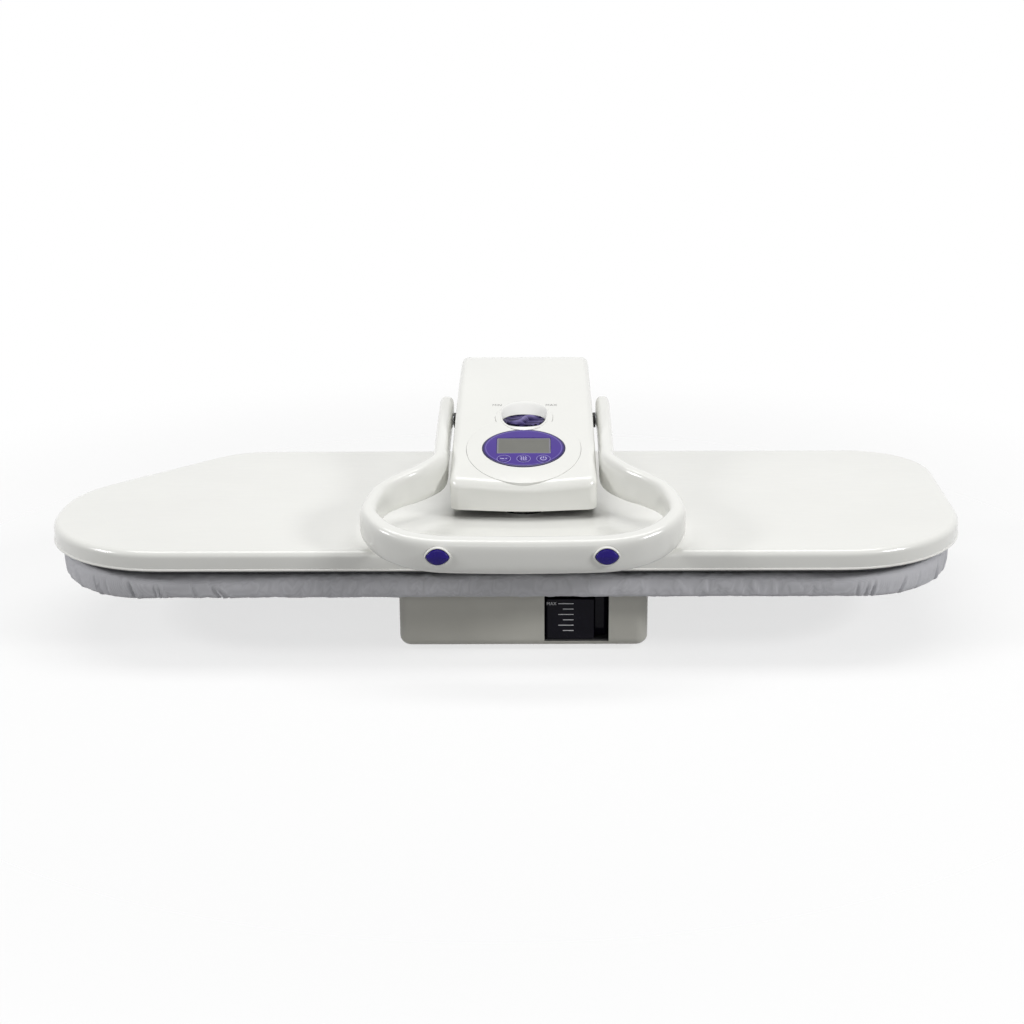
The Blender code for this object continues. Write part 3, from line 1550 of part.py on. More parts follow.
def build_feed_hose_base(silicone):
    # From the pump's front nozzle, back along the left wall and up the stand
    nozzle = pump_y - pump_barrel_length / 2 - pump_nozzle_length - fit_gap
    x = console_x + pump_x
    wall = console_x - base_width / 2 + base_wall + 3 * hose_radius
    rear = hinge_y - cheek_radius - 6 * hose_radius
    low = pan_top + stand_foot_thickness + riser_offset
    points = [Vector((x, nozzle, pump_height)),
              Vector((x, nozzle - 3 * hose_radius, pump_height)),
              Vector(((x + wall) / 2, nozzle - 5 * hose_radius, pump_height)),
              Vector((wall, nozzle + 2 * hose_radius, (pump_height + low) / 2)),
              Vector((wall, pump_y, low)), Vector((wall, power_board_y, low)),
              Vector((wall + 5 * hose_radius, rear, low)),
              Vector((console_x - 10 * hose_radius, rear + hose_radius, low)),
              Vector((console_x + hose_radius, rear + 5 * hose_radius, low + hose_radius)),
              Vector((console_x + riser_offset, hinge_y - hose_radius, low + 8 * hose_radius))]
    return tube("feed_hose_base", hose_path(points + stand_riser(1), 2), hose_radius, silicone)


def build_feed_hose_arm(silicone):
    start = stand_riser(1)[-1] + Vector((fit_gap, 0, 0))
    nipple_top = sole_top + fit_gap + chamber_height - small_inset + nipple_height
    end = Vector((console_x + nipple_offset, chamber_y, nipple_top + fit_gap))
    crest = arm_bottom + 2 * hose_bend
    lane = start.x + feed_lane_share * arm_bend
    points = [start, start + Vector((hose_radius, 0, 0))]
    points += [start + Vector(step) * arm_bend for step in feed_route_shares]
    points += [Vector((lane, console_base_rear, crest)), Vector((end.x, pivot_y, crest)),
               Vector((end.x, end.y + feed_turn_share * arm_bend, crest))]
    points += [end + Vector(step) * arm_bend for step in feed_drop_shares]
    points += [end + Vector((0, 0, hose_radius)), end]
    return tube("feed_hose_arm", hose_path(points), hose_radius, silicone)


def board_plug_rear():
    # Rear face of the plug block on the power board, where the loom starts
    return Vector((console_x + power_board_x + board_length / 3,
                   power_board_y + board_width / 2 - 2 * small_inset,
                   pan_top + standoff_height + fit_gap + board_sheet + 2 * hose_radius))


def build_loom_base(black):
    start = board_plug_rear() + Vector((0, fit_gap, 0))
    x = console_x - riser_offset
    points = [start, start + Vector((0, 2 * hose_radius, 0)),
              Vector(((start.x + x) / 2, hinge_y - cheek_radius, start.z + 2 * hose_radius)),
              Vector((x, hinge_y - hose_radius, start.z + 8 * hose_radius))]
    return tube("loom_base", hose_path(points + stand_riser(-1)), hose_radius, black)


def build_loom_arm(black):
    start = stand_riser(-1)[-1] - Vector((fit_gap, 0, 0))
    under = lcd_floor() - 2 * fit_gap - board_sheet
    spot = Vector((-control_board_length / 2 + 2 * hose_radius,
                   control_board_width / 2 - 2 * hose_radius, under))
    end = display_frame() @ spot
    lead = display_frame() @ (spot - Vector((0, 0, 2 * hose_radius)))
    crest = arm_bottom + 2 * hose_bend
    lane = start.x - loom_lane_share * arm_bend
    points = [start, start - Vector((hose_radius, 0, 0))]
    points += [start + Vector((-out, back, up)) * arm_bend for out, back, up in loom_route_shares]
    points += [Vector((lane, console_base_rear, crest)), Vector((lane, pivot_y, crest)),
               Vector((start.x - loom_join_share * arm_bend, (pivot_y + lead.y) / 2,
                       (crest + lead.z) / 2)), lead, end]
    return tube("loom_arm", hose_path(points), hose_radius, black)


def build_all():
    clear_scene()
    white = make_material("glossy_white", (0.83, 0.83, 0.80), 0.22)
    grey = make_material("warm_grey_plastic", (0.30, 0.29, 0.26), 0.45)
    dark = make_material("dark_grey_plastic", (0.06, 0.06, 0.065), 0.5)
    black = make_material("black_plastic", (0.02, 0.02, 0.025), 0.45)
    rubber = make_material("black_rubber", (0.025, 0.025, 0.025), 0.8)
    violet = make_material("violet_plastic", (0.10, 0.04, 0.42), 0.25)
    glass = make_material("display_glass", (0.19, 0.20, 0.18), 0.2)
    smoke = make_material("smoked_plastic", (0.03, 0.03, 0.08), 0.15)
    cloth = make_material("grey_cloth", (0.33, 0.33, 0.35), 0.9)
    foam = make_material("foam", (0.75, 0.70, 0.55), 0.95)
    steel = make_material("zinc_steel", (0.55, 0.56, 0.58), 0.35, 1.0)
    aluminium = make_material("aluminium", (0.70, 0.70, 0.71), 0.3, 1.0)
    brass = make_material("brass", (0.75, 0.55, 0.25), 0.3, 1.0)
    copper = make_material("copper_winding", (0.55, 0.25, 0.12), 0.4, 0.6)
    silicone = make_material("silicone_hose", (0.75, 0.75, 0.72), 0.5)
    wool = make_material("mineral_wool", (0.72, 0.70, 0.62), 1.0)
    green = make_material("circuit_board", (0.04, 0.22, 0.08), 0.45)

    front = handle_bar_y - handle_bar_thickness / 2 - handle_button_proud
    rear = max(hinge_y + neck_radius, base_rear + fit_gap + inlet_flange)
    press = bpy.data.objects.new("press", None)
    bpy.context.scene.collection.objects.link(press)
    across = [p.x for p in rounded_outline(plate_corners(), 0, 8)]
    press.location = (-(min(across) + max(across)) / 2, -(front + rear) / 2, 0)
    root = make_carrier("root", (0, 0, 0))
    root.parent = press

    mount(root, build_base_housing(grey), build_base_pan(grey), build_tank_bay(black),
          build_tank_socket(black), build_pump(steel), build_pump_cradle(rubber),
          build_suction_hose(silicone), build_power_board(green), build_transformer(copper),
          build_power_inlet(black), build_board_rail("board_rail_left", -1, steel),
          build_board_rail("board_rail_right", 1, steel), build_board_tray(steel),
          build_foam_pad(foam), build_pad_cover(cloth), build_rear_stand(steel),
          build_stand_cover(grey), build_feed_hose_base(silicone), build_loom_base(black))
    for word, side in (("left", -1), ("right", 1)):
        mount(root, build_hinge_pin(f"hinge_pin_{word}", side, steel),
              build_lift_spring(f"lift_spring_{word}", side, steel),
              build_foot(f"foot_front_{word}", console_x + side * foot_spread, foot_front, rubber),
              build_foot(f"foot_rear_{word}", console_x + side * foot_spread, foot_rear, rubber))

    tank = make_carrier("water_tank_slide", (tank_middle(), filler_y, bay_floor), root)
    mount(tank, build_water_tank(smoke), build_tank_cap(rubber), build_tank_valve(brass))

    arm = make_carrier("press_arm_hinge", hinge, root)
    mount(arm, build_arm_frame(steel), build_neck_cover(white), build_console_base(dark),
          build_console_housing(white), build_control_insert(white), build_display_lens(violet),
          build_lcd_panel(glass), build_control_board(green), build_knob_potentiometer(black),
          build_plate_cover(white), build_sole_plate(aluminium), build_heating_element(steel),
          build_insulation_mat(wool), build_steam_chamber(aluminium),
          build_plate_hanger(aluminium), build_plate_thermostat(black),
          build_feed_hose_arm(silicone), build_loom_arm(black))
    for word, side in (("left", -1), ("right", 1)):
        mount(arm, build_handle_bush(word, side, black))

    knob = make_carrier("temperature_knob_turn", (console_x, knob_y, cup_floor()), arm)
    mount(knob, build_temperature_knob(violet))
    for word, x in panel_button_places().items():
        place = display_frame() @ Vector((x, panel_button_row, 0))
        mount(make_carrier(f"panel_button_{word}_slide", place, arm),
              build_panel_button(word, x, violet))

    lever = make_carrier("handle_hinge", pivot, arm)
    mount(lever, build_handle(white), build_handle_shaft(steel), build_handle_crank(steel))
    for word, side in (("left", -1), ("right", 1)):
        x, z = handle_button_centre(side)
        slide = make_carrier(f"handle_button_{word}_slide", (x, handle_button_front(), z), lever)
        mount(slide, build_handle_button(word, side, violet))
    link = make_carrier("pressure_link_hinge", (console_x, crank_pin_y, crank_pin_z), lever)
    mount(link, build_pressure_link(steel))


build_all()
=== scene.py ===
# Steam ironing press: the looks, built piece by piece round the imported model.
import math
import random

import bmesh
import bpy
from mathutils import Matrix, Vector, noise


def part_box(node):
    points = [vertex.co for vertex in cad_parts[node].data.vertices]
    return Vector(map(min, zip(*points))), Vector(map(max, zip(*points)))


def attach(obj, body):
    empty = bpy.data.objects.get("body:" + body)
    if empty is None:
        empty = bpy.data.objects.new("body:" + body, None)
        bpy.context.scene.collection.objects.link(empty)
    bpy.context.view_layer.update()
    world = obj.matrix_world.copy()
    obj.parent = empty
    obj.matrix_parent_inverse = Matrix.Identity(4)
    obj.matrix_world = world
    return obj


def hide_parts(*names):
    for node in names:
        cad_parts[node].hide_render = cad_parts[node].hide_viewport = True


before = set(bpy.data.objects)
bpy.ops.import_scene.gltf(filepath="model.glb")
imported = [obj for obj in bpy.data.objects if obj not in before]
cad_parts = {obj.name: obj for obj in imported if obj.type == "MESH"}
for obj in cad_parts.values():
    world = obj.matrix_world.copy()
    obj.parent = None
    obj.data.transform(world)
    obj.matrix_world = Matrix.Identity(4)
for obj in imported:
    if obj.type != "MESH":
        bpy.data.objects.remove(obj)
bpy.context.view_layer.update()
print("packed model loaded")

# Every size below starts from the middle of the plate
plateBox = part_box("plate_cover")
plateX = 0.00096  # middle of the outline's sharp corners; its rounded right end falls short
plateCentre = Vector((plateX, (plateBox[0].y + plateBox[1].y) / 2, 0.0))
consoleX = 0.016  # the console, handle and base stand a little right of it


# Tools for modelling

def freeHands():
    # Back to object mode with nothing selected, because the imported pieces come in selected
    if bpy.context.object and bpy.context.object.mode != "OBJECT":
        bpy.ops.object.mode_set(mode="OBJECT")
    bpy.ops.object.select_all(action="DESELECT")


def nameIt(name):
    piece = bpy.context.object
    piece.name = piece.data.name = name
    bpy.ops.object.transform_apply(location=True, rotation=True, scale=True)
    return piece


def goTo(piece):
    freeHands()
    bpy.context.view_layer.objects.active = piece
    piece.select_set(True)


def marked(piece):
    # The mesh in edit mode, and the layers with each dot's place in its ring and the ring's number
    work = bmesh.from_edit_mesh(piece.data)
    return work, work.verts.layers.int["order"], work.verts.layers.int["level"]


def choose(piece, kind, k, test):
    # Selects the faces or edges that lie in ring k, where their dots' places pass the test
    bpy.ops.mesh.select_mode(type=kind)
    bpy.ops.mesh.select_all(action="DESELECT")
    work, order, level = marked(piece)
    for item in work.faces if kind == "FACE" else work.edges:
        if all(dot[level] == k for dot in item.verts) and test([dot[order] for dot in item.verts]):
            item.select_set(True)
    bmesh.update_edit_mesh(piece.data)


def growRings(name, rings, caps=("flat", "flat")):
    # A circle is laid on the first ring, then extruded from ring to ring. A cap is "flat",
    # "crown" for strips from left to right, or "open"
    freeHands()
    bpy.ops.mesh.primitive_circle_add(vertices=len(rings[0]), radius=0.1, fill_type="NGON")
    piece = nameIt(name)
    bpy.ops.object.mode_set(mode="EDIT")
    for word in ("order", "level"):
        bmesh.from_edit_mesh(piece.data).verts.layers.int.new(word)
    work, order, level = marked(piece)
    for i, dot in enumerate(work.verts):
        dot[order] = i
    bpy.ops.mesh.select_all(action="SELECT")
    for k, ring in enumerate(rings):
        if k:
            bpy.ops.mesh.extrude_region_move()
        work, order, level = marked(piece)
        for dot in work.verts:
            if dot.select:
                dot.co = ring[dot[order]]
                dot[level] = k
        bmesh.update_edit_mesh(piece.data)
    for cap, k in zip(caps, (0, len(rings) - 1)):
        if cap != "flat":
            choose(piece, "FACE", k, lambda spots: True)
            bpy.ops.mesh.delete(type="ONLY_FACE")
        if cap == "crown":
            crownCap(piece, k, len(rings[0]))
    bpy.ops.mesh.select_all(action="SELECT")
    bpy.ops.mesh.normals_make_consistent(inside=False)
    freeHands()
    sortMesh(piece)
    return piece


def sortMesh(piece):
    # Dots and faces in one fixed order, because extrude's own order changes from run to run
    data = piece.data
    order, level = [[mark.value for mark in data.attributes[word].data]
                    for word in ("order", "level")]
    ranked = sorted(range(len(order)), key=lambda i: (level[i], order[i]))
    rank = {old: new for new, old in enumerate(ranked)}
    dots = [data.vertices[i].co.copy() for i in ranked]
    faces = [[rank[i] for i in face.vertices] for face in data.polygons]
    data.clear_geometry()
    data.from_pydata(dots, [], sorted(faces, key=sorted))


def crownCap(piece, k, count):
    # The right half of the ring is bridged to the left half, and both ends are closed
    half = count // 2
    choose(piece, "EDGE", k, lambda spots: all(2 <= s <= half - 2 for s in spots)
           or all(half + 2 <= s <= count - 2 for s in spots))
    bpy.ops.mesh.bridge_edge_loops()
    bpy.ops.mesh.select_all(action="SELECT")
    bpy.ops.mesh.fill_holes(sides=8)


def setAll(thing, settings):
    for key, value in settings.items():
        setattr(thing, key, value)


def applyTool(piece, kind, **settings):
    tool = piece.modifiers.new(kind, kind)
    setAll(tool, settings)
    goTo(piece)
    bpy.ops.object.modifier_apply(modifier=tool.name)


def carve(piece, cutter, operation="DIFFERENCE", keep=False):
    applyTool(piece, "BOOLEAN", operation=operation, solver="EXACT", object=cutter)
    if not keep:
        freeHands()
        cutter.select_set(True)
        bpy.ops.object.delete()


def soften(piece, width, segments=3, angle=35):
    # Rounds what is sharper than the angle
    applyTool(piece, "BEVEL", width=width, segments=segments, limit_method="ANGLE",
              angle_limit=math.radians(angle), harden_normals=False)


def smooth(piece, angle):
    goTo(piece)
    bpy.ops.object.shade_smooth_by_angle(angle=math.radians(angle))


def joinAll(name, pieces):
    freeHands()
    for piece in pieces:
        piece.select_set(True)
    bpy.context.view_layer.objects.active = pieces[0]
    bpy.ops.object.join()
    return nameIt(name)


def at(x, y, z):
    return Vector((x, y, z)) + plateCentre


def addBlock(name, first, last):
    # A box from corner to corner
    freeHands()
    bpy.ops.mesh.primitive_cube_add(size=1, location=at(*[(a + b) / 2 for a, b in zip(first, last)]))
    bpy.context.object.scale = [b - a for a, b in zip(first, last)]
    return nameIt(name)


def addRod(name, sides, radius, depth, place, turn=(0, 0, 0), scale=(1, 1, 1)):
    freeHands()
    bpy.ops.mesh.primitive_cylinder_add(vertices=sides, radius=radius, depth=depth,
                                        location=at(*place), rotation=turn)
    bpy.context.object.scale = scale
    return nameIt(name)


sideways = (0, math.pi / 2, 0)  # turns a rod from left to right


def clamp(value, low=0.0, high=1.0):
    return min(high, max(low, value))


def ease(share):
    return share * share * (3 - 2 * share)


def spokes(sides, shift=0.5):
    # The directions of a ring's dots, as cosine and sine
    turns = [2 * math.pi * (k + shift) / sides for k in range(sides)]
    return [(math.cos(a), math.sin(a)) for a in turns]


def quarter(steps):
    # The angles of a quarter turn
    return [math.pi / 2 * k / steps for k in range(steps + 1)]


def roundedOutline(corners, inset=0.0, segments=12, runs=None):
    # Corners are (x, y, radius), counterclockwise; inset moves the whole outline inwards
    sides = []
    for i, corner in enumerate(corners):
        start = Vector(corner[:2])
        along = (Vector(corners[(i + 1) % len(corners)][:2]) - start).normalized()
        inward = Vector((-along.y, along.x))
        sides.append((start + inward * inset, along, inward))
    arcs = []
    for i, corner in enumerate(corners):
        before, now = sides[i - 1], sides[i]
        cross = before[1].x * now[1].y - before[1].y * now[1].x
        gap = now[0] - before[0]
        meet = before[0] + before[1] * ((gap.x * now[1].y - gap.y * now[1].x) / cross)
        turn = math.atan2(cross, before[1].dot(now[1]))
        hand = 1 if turn > 0 else -1
        radius = max(corner[2] - inset * hand, 0.0002)
        centre = meet - before[1] * radius * math.tan(abs(turn) / 2) + before[2] * radius * hand
        arm = -before[2] * radius * hand
        arcs.append([centre + Matrix.Rotation(turn * k / segments, 2) @ arm
                     for k in range(segments + 1)])
    points = []
    for i, arc in enumerate(arcs):
        points += arc
        extra = runs[i] if runs else 0
        first, last = arc[-1], arcs[(i + 1) % len(arcs)][0]
        points += [first.lerp(last, k / (extra + 1)) for k in range(1, extra + 1)]
    return points


def ringsAt(corners, levels, segments=12, runs=None):
    return [[at(p.x, p.y, z) for p in roundedOutline(corners, inset, segments, runs)]
            for inset, z in levels]


def quarterUp(inset, top, radius, steps=6):
    # Levels (inset, height) of an upper edge rounded by radius
    return [(inset + radius * (1 - math.cos(a)), top - radius * (1 - math.sin(a)))
            for a in quarter(steps)]


def rectangle(left, right, low, high, radius):
    return [(left, low, radius), (right, low, radius), (right, high, radius), (left, high, radius)]


def softCurve(points, steps):
    # A Catmull-Rom curve through the points
    ends = [points[0] * 2 - points[1]] + points + [points[-1] * 2 - points[-2]]
    route = []
    for a, b, c, d in zip(ends, ends[1:], ends[2:], ends[3:]):
        for k in range(steps):
            t = k / steps
            route.append((b * 2 + (c - a) * t + (a * 2 - b * 5 + c * 4 - d) * t ** 2
                          + (b * 3 - a - c * 3 + d) * t ** 3) / 2)
    return route + [points[-1]]


# Tools for materials

def operate(kind, swapped=False):
    # An operator of Wire that grows a Math node
    def grow(wire, other=0.0):
        pair = (other, wire) if swapped else (wire, other)
        return wire.finish.node("ShaderNodeMath", {"operation": kind}, dict(enumerate(pair)))
    return grow


class Wire:
    # A socket that does sums

    __add__ = operate("ADD")
    __radd__ = operate("ADD", True)
    __sub__ = operate("SUBTRACT")
    __rsub__ = operate("SUBTRACT", True)
    __mul__ = operate("MULTIPLY")
    __rmul__ = operate("MULTIPLY", True)
    __truediv__ = operate("DIVIDE")
    __pow__ = operate("POWER")
    __gt__ = operate("GREATER_THAN")
    __abs__ = operate("ABSOLUTE")
    sine = operate("SINE")
    highest = operate("MAXIMUM")
    lowest = operate("MINIMUM")

    def __init__(self, finish, socket):
        self.finish = finish
        self.socket = socket

    def below(self, edge, blur):
        # 1 under the edge and 0 over it, with a soft step between
        return self.finish.node("ShaderNodeMapRange", {"interpolation_type": "SMOOTHSTEP"},
                                {0: self, 1: edge - blur, 2: edge + blur, 3: 1.0, 4: 0.0})


class Finish:
    # One material: its Principled shader and the nodes that feed it

    def __init__(self, name, colour, roughness, **fixed):
        self.material = bpy.data.materials.new(name)
        self.material.use_nodes = True
        self.tree = self.material.node_tree
        self.shader = self.tree.nodes["Principled BSDF"]
        self.colour = (*colour, 1.0)
        self.material.diffuse_color = self.colour
        self.shader.inputs["Base Color"].default_value = self.colour
        self.shader.inputs["Roughness"].default_value = roughness
        for socket, value in fixed.items():
            self.shader.inputs[socket.replace("_", " ")].default_value = value
        self.place = self.node("ShaderNodeTexCoord", output="Object")

    def node(self, kind, settings=None, values=None, output=0):
        made = self.tree.nodes.new(kind)
        for key, value in (settings or {}).items():
            if key == "stops":
                while len(made.color_ramp.elements) < len(value):
                    made.color_ramp.elements.new(0.5)
                for element, (spot, shade) in zip(made.color_ramp.elements, value):
                    element.position = spot
                    element.color = (*shade, 1.0)
            else:
                setattr(made, key, value)
        for key, value in (values or {}).items():
            if isinstance(value, Wire):
                self.tree.links.new(value.socket, made.inputs[key])
            else:
                made.inputs[key].default_value = value
        return Wire(self, made.outputs[output])

    def grain(self, scale, detail=3.0, stretch=(1, 1, 1), rough=0.5):
        spot = self.node("ShaderNodeMapping", None, {0: self.place, 3: stretch})
        return self.node("ShaderNodeTexNoise", None,
                         {"Vector": spot, "Scale": scale, "Detail": detail, "Roughness": rough})

    def local(self, centre, turn):
        # Coordinates on a small face, from its own middle
        spot = self.node("ShaderNodeMapping", {"vector_type": "TEXTURE"},
                         {0: self.place, 1: centre, 2: turn})
        return [self.node("ShaderNodeSeparateXYZ", None, {0: spot}, k) for k in range(2)]

    def blend(self, share, first, second):
        return self.node("ShaderNodeMix", {"data_type": "RGBA"},
                         {0: share, 6: first, 7: second}, 2)

    def feed(self, socket, wire):
        self.tree.links.new(wire.socket, self.shader.inputs[socket])

    def tint(self, wire, dark, light):
        # The colour drifts between two shades of itself
        shades = [tuple(min(1.0, c * k) for c in self.colour[:3]) for k in (dark, light)]
        self.feed("Base Color", self.node("ShaderNodeValToRGB",
                                          {"stops": [(0.3, shades[0]), (0.7, shades[1])]},
                                          {0: wire}))

    def relief(self, height, strength, distance):
        bump = self.node("ShaderNodeBump", None,
                         {"Height": height, "Strength": strength, "Distance": distance})
        self.feed("Normal", bump)

    def gloss(self, wire, least, most):
        self.feed("Roughness", self.node("ShaderNodeMapRange", None,
                                         {0: wire, 1: 0.3, 2: 0.7, 3: least, 4: most}))


def plainFinish(name, colour, roughness, tint, gloss, relief=None, **fixed):
    # Each of the three is a grain's scale and detail, then the two limits of what it drives,
    # or the strength and the depth of the relief
    finish = Finish(name, colour, roughness, **fixed)
    finish.tint(finish.grain(*tint[:2]), *tint[2:])
    finish.gloss(finish.grain(*gloss[:2]), *gloss[2:])
    if relief:
        finish.relief(finish.grain(*relief[:2]), *relief[2:])
    return finish.material


def darkPlastic(name, colour):
    return plainFinish(name, colour, 0.45, (30, 4, 0.85, 1.2), (160, 4, 0.38, 0.53),
                       (1300, 3, 0.15, 0.0004), IOR=1.48)


def printInk(name, colour):
    return plainFinish(name, colour, 0.5, (300, 4, 0.88, 1.1), (400, 3, 0.42, 0.6))


def whiteGloss():
    # Injection-moulded white plastic: high gloss, a trace of orange peel and fine rub marks
    finish = Finish("glossyWhite", (0.80, 0.80, 0.765), 0.2, Coat_Weight=0.3,
                    Coat_Roughness=0.06, IOR=1.5)
    finish.tint(finish.grain(9, 4), 0.985, 1.015)
    finish.gloss(finish.grain(38, 6, (1, 7, 7), 0.65), 0.16, 0.27)
    finish.relief(finish.grain(420, 2) * 0.7 + finish.grain(55, 2), 0.035, 0.0006)
    return finish.material


def zincSteel():
    # Rolled and zinc-plated sheet: cloudy colour with fine lines of rolling
    finish = Finish("zincSteel", (0.56, 0.57, 0.60), 0.34, Metallic=1.0)
    clouds = finish.grain(26, 6)
    lines = finish.grain(900, 2, (1, 0.03, 1))
    finish.tint(clouds * 0.6 + lines * 0.4, 0.82, 1.1)
    finish.gloss(clouds, 0.26, 0.44)
    finish.relief(lines + finish.grain(300, 3) * 0.4, 0.12, 0.0004)
    return finish.material


def castAluminium():
    # Bare cast metal: fine wandering scratches over a bright ground
    finish = Finish("castAluminium", (0.72, 0.72, 0.73), 0.26, Metallic=1.0)
    scratches = finish.grain(520, 2, (0.05, 1, 1))
    finish.tint(finish.grain(12, 5) * 0.7 + scratches * 0.3, 0.9, 1.05)
    finish.gloss(finish.grain(30, 5), 0.2, 0.36)
    finish.relief(scratches, 0.1, 0.0003)
    return finish.material


def darkSoleShade():
    # Near-black coat over the cast sole, painted shade that darkens the gap between plate and pad:
    # fine speckle in larger clouds
    finish = Finish("darkSoleShade", (0.022, 0.022, 0.024), 0.5, Specular_IOR_Level=0.4)
    speckle = finish.grain(700, 2)
    finish.tint(speckle * 0.6 + finish.grain(18, 5) * 0.4, 0.7, 1.7)
    finish.gloss(finish.grain(40, 5), 0.4, 0.6)
    finish.relief(speckle, 0.12, 0.0003)
    return finish.material


def fibres(name, colour, scale):
    # Mineral wool and foam: broken, open, dull
    finish = Finish(name, colour, 0.95)
    finish.tint(finish.grain(scale, 6, rough=0.7), 0.75, 1.1)
    finish.relief(finish.grain(scale * 4, 6, rough=0.7), 0.8, 0.002)
    return finish.material


def boardFinish():
    # Green board with paler copper runs under the varnish
    finish = Finish("circuitBoard", (0.035, 0.17, 0.065), 0.35, Coat_Weight=0.4)
    runs = finish.node("ShaderNodeTexBrick", {"offset": 0.35},
                       {"Vector": finish.place, "Scale": 110.0, "Mortar Size": 0.03}, 1)
    finish.feed("Base Color", finish.blend(runs, (0.03, 0.15, 0.055, 1), (0.07, 0.30, 0.11, 1)))
    finish.relief(runs + finish.grain(600, 2) * 0.2, 0.15, 0.0003)
    return finish.material


def coilFinish():
    # Turns of varnished copper wire
    finish = Finish("copperWinding", (0.42, 0.18, 0.08), 0.35, Metallic=0.5)
    turns = finish.node("ShaderNodeTexWave", {"bands_direction": "Z"},
                        {"Vector": finish.place, "Scale": 420.0, "Distortion": 0.4})
    finish.tint(turns * 0.6 + finish.grain(90, 4) * 0.4, 0.6, 1.3)
    finish.relief(turns, 0.5, 0.0005)
    return finish.material

# Sizes that the control panel and the dial share with their finishes

panelForm = {
    # depth and radius of the keyhole's two circles, and how many sides each has
    "display": (-0.02575, 0.064, 128), "knob": (0.037, 0.033, 96), "cut": (0.15, 0.26),
    "height": 0.19378, "slope": 18.5356, "raise": 0.0006, "depth": 0.003,
    "lens": (0.0465, 0.0365), "lensThick": 0.0024, "dome": 0.0007,
    "lcd": (0.031, 0.016, 0.0035), "lcdField": (0.0283, 0.0134), "lcdRow": 0.0022,
    "keyRow": -0.022, "keyPitch": 0.022, "keyRadius": 0.006, "keyTop": 0.0008,
    "cup": 0.0252, "cupDepth": 0.0091, "scoop": 0.0130,
}
dialForm = {
    "radius": 0.0243, "height": 0.0065, "stem": 0.003, "angle": math.radians(35),
    "wing": 0.0042, "length": 0.040, "width": 0.0125, "sway": 0.0052, "dish": 0.0018,
}
displaySlope = math.radians(panelForm["slope"])
displayPlace = (Matrix.Translation(at(consoleX, panelForm["display"][0], panelForm["height"]))
                @ Matrix.Rotation(displaySlope, 4, "X"))


# Finishes

def displayViolet(form=panelForm):
    # Gloss violet window: darker towards its rim, with a thin pale line just inside
    finish = Finish("displayViolet", (0.062, 0.024, 0.290), 0.2, Coat_Weight=0.15,
                    Coat_Roughness=0.08, Specular_IOR_Level=0.3)
    x, y = finish.local(displayPlace.translation, (displaySlope, 0, 0))
    reach = ((x / form["lens"][0]) ** 2.0 + (y / form["lens"][1]) ** 2.0) ** 0.5
    field = finish.blend(finish.grain(40, 4), (0.044, 0.015, 0.230, 1), (0.058, 0.022, 0.275, 1))
    field = finish.blend(reach.below(0.95, 0.02), (0.016, 0.007, 0.085, 1), field)
    line = (reach.below(0.925, 0.007) - reach.below(0.905, 0.007)) * 0.30
    field = finish.blend(line, field, (0.36, 0.32, 0.66, 1))
    for place in (-1, 0, 1):
        # a thin pale ring round each key
        shift = place * form["keyPitch"]
        oval = (((x - shift) / 0.0078) ** 2.0 + ((y - form["keyRow"]) / 0.0069) ** 2.0) ** 0.5
        ring = oval.below(1.0, 0.015) - oval.below(0.93, 0.015)
        field = finish.blend(ring * 0.6, field, (0.50, 0.46, 0.76, 1))
    finish.feed("Base Color", field)
    finish.gloss(finish.grain(90, 4), 0.1, 0.19)
    finish.relief(finish.grain(300, 2), 0.02, 0.0003)
    return finish.material


def lcdGlass(form=panelForm):
    # Switched-off liquid crystal: grey-green field in a paler frame, with faint rows in it
    finish = Finish("lcdGlass", (0.14, 0.14, 0.125), 0.25, Coat_Weight=0.1, Coat_Roughness=0.08)
    x, y = finish.local(displayPlace @ Vector((0, form["lcd"][2], 0)), (displaySlope, 0, 0))
    blur = 0.0004
    inside = abs(x).below(form["lcdField"][0], blur) * abs(y).below(form["lcdField"][1], blur)
    rows = finish.node("ShaderNodeMath", {"operation": "PINGPONG"}, {0: y, 1: form["lcdRow"]})
    field = finish.blend(finish.grain(60, 3) * 0.7 + rows * 90.0, (0.122, 0.122, 0.107, 1),
                         (0.155, 0.155, 0.139, 1))
    finish.feed("Base Color", finish.blend(inside, (0.20, 0.19, 0.24, 1), field))
    finish.relief(finish.grain(700, 2), 0.02, 0.0002)
    return finish.material


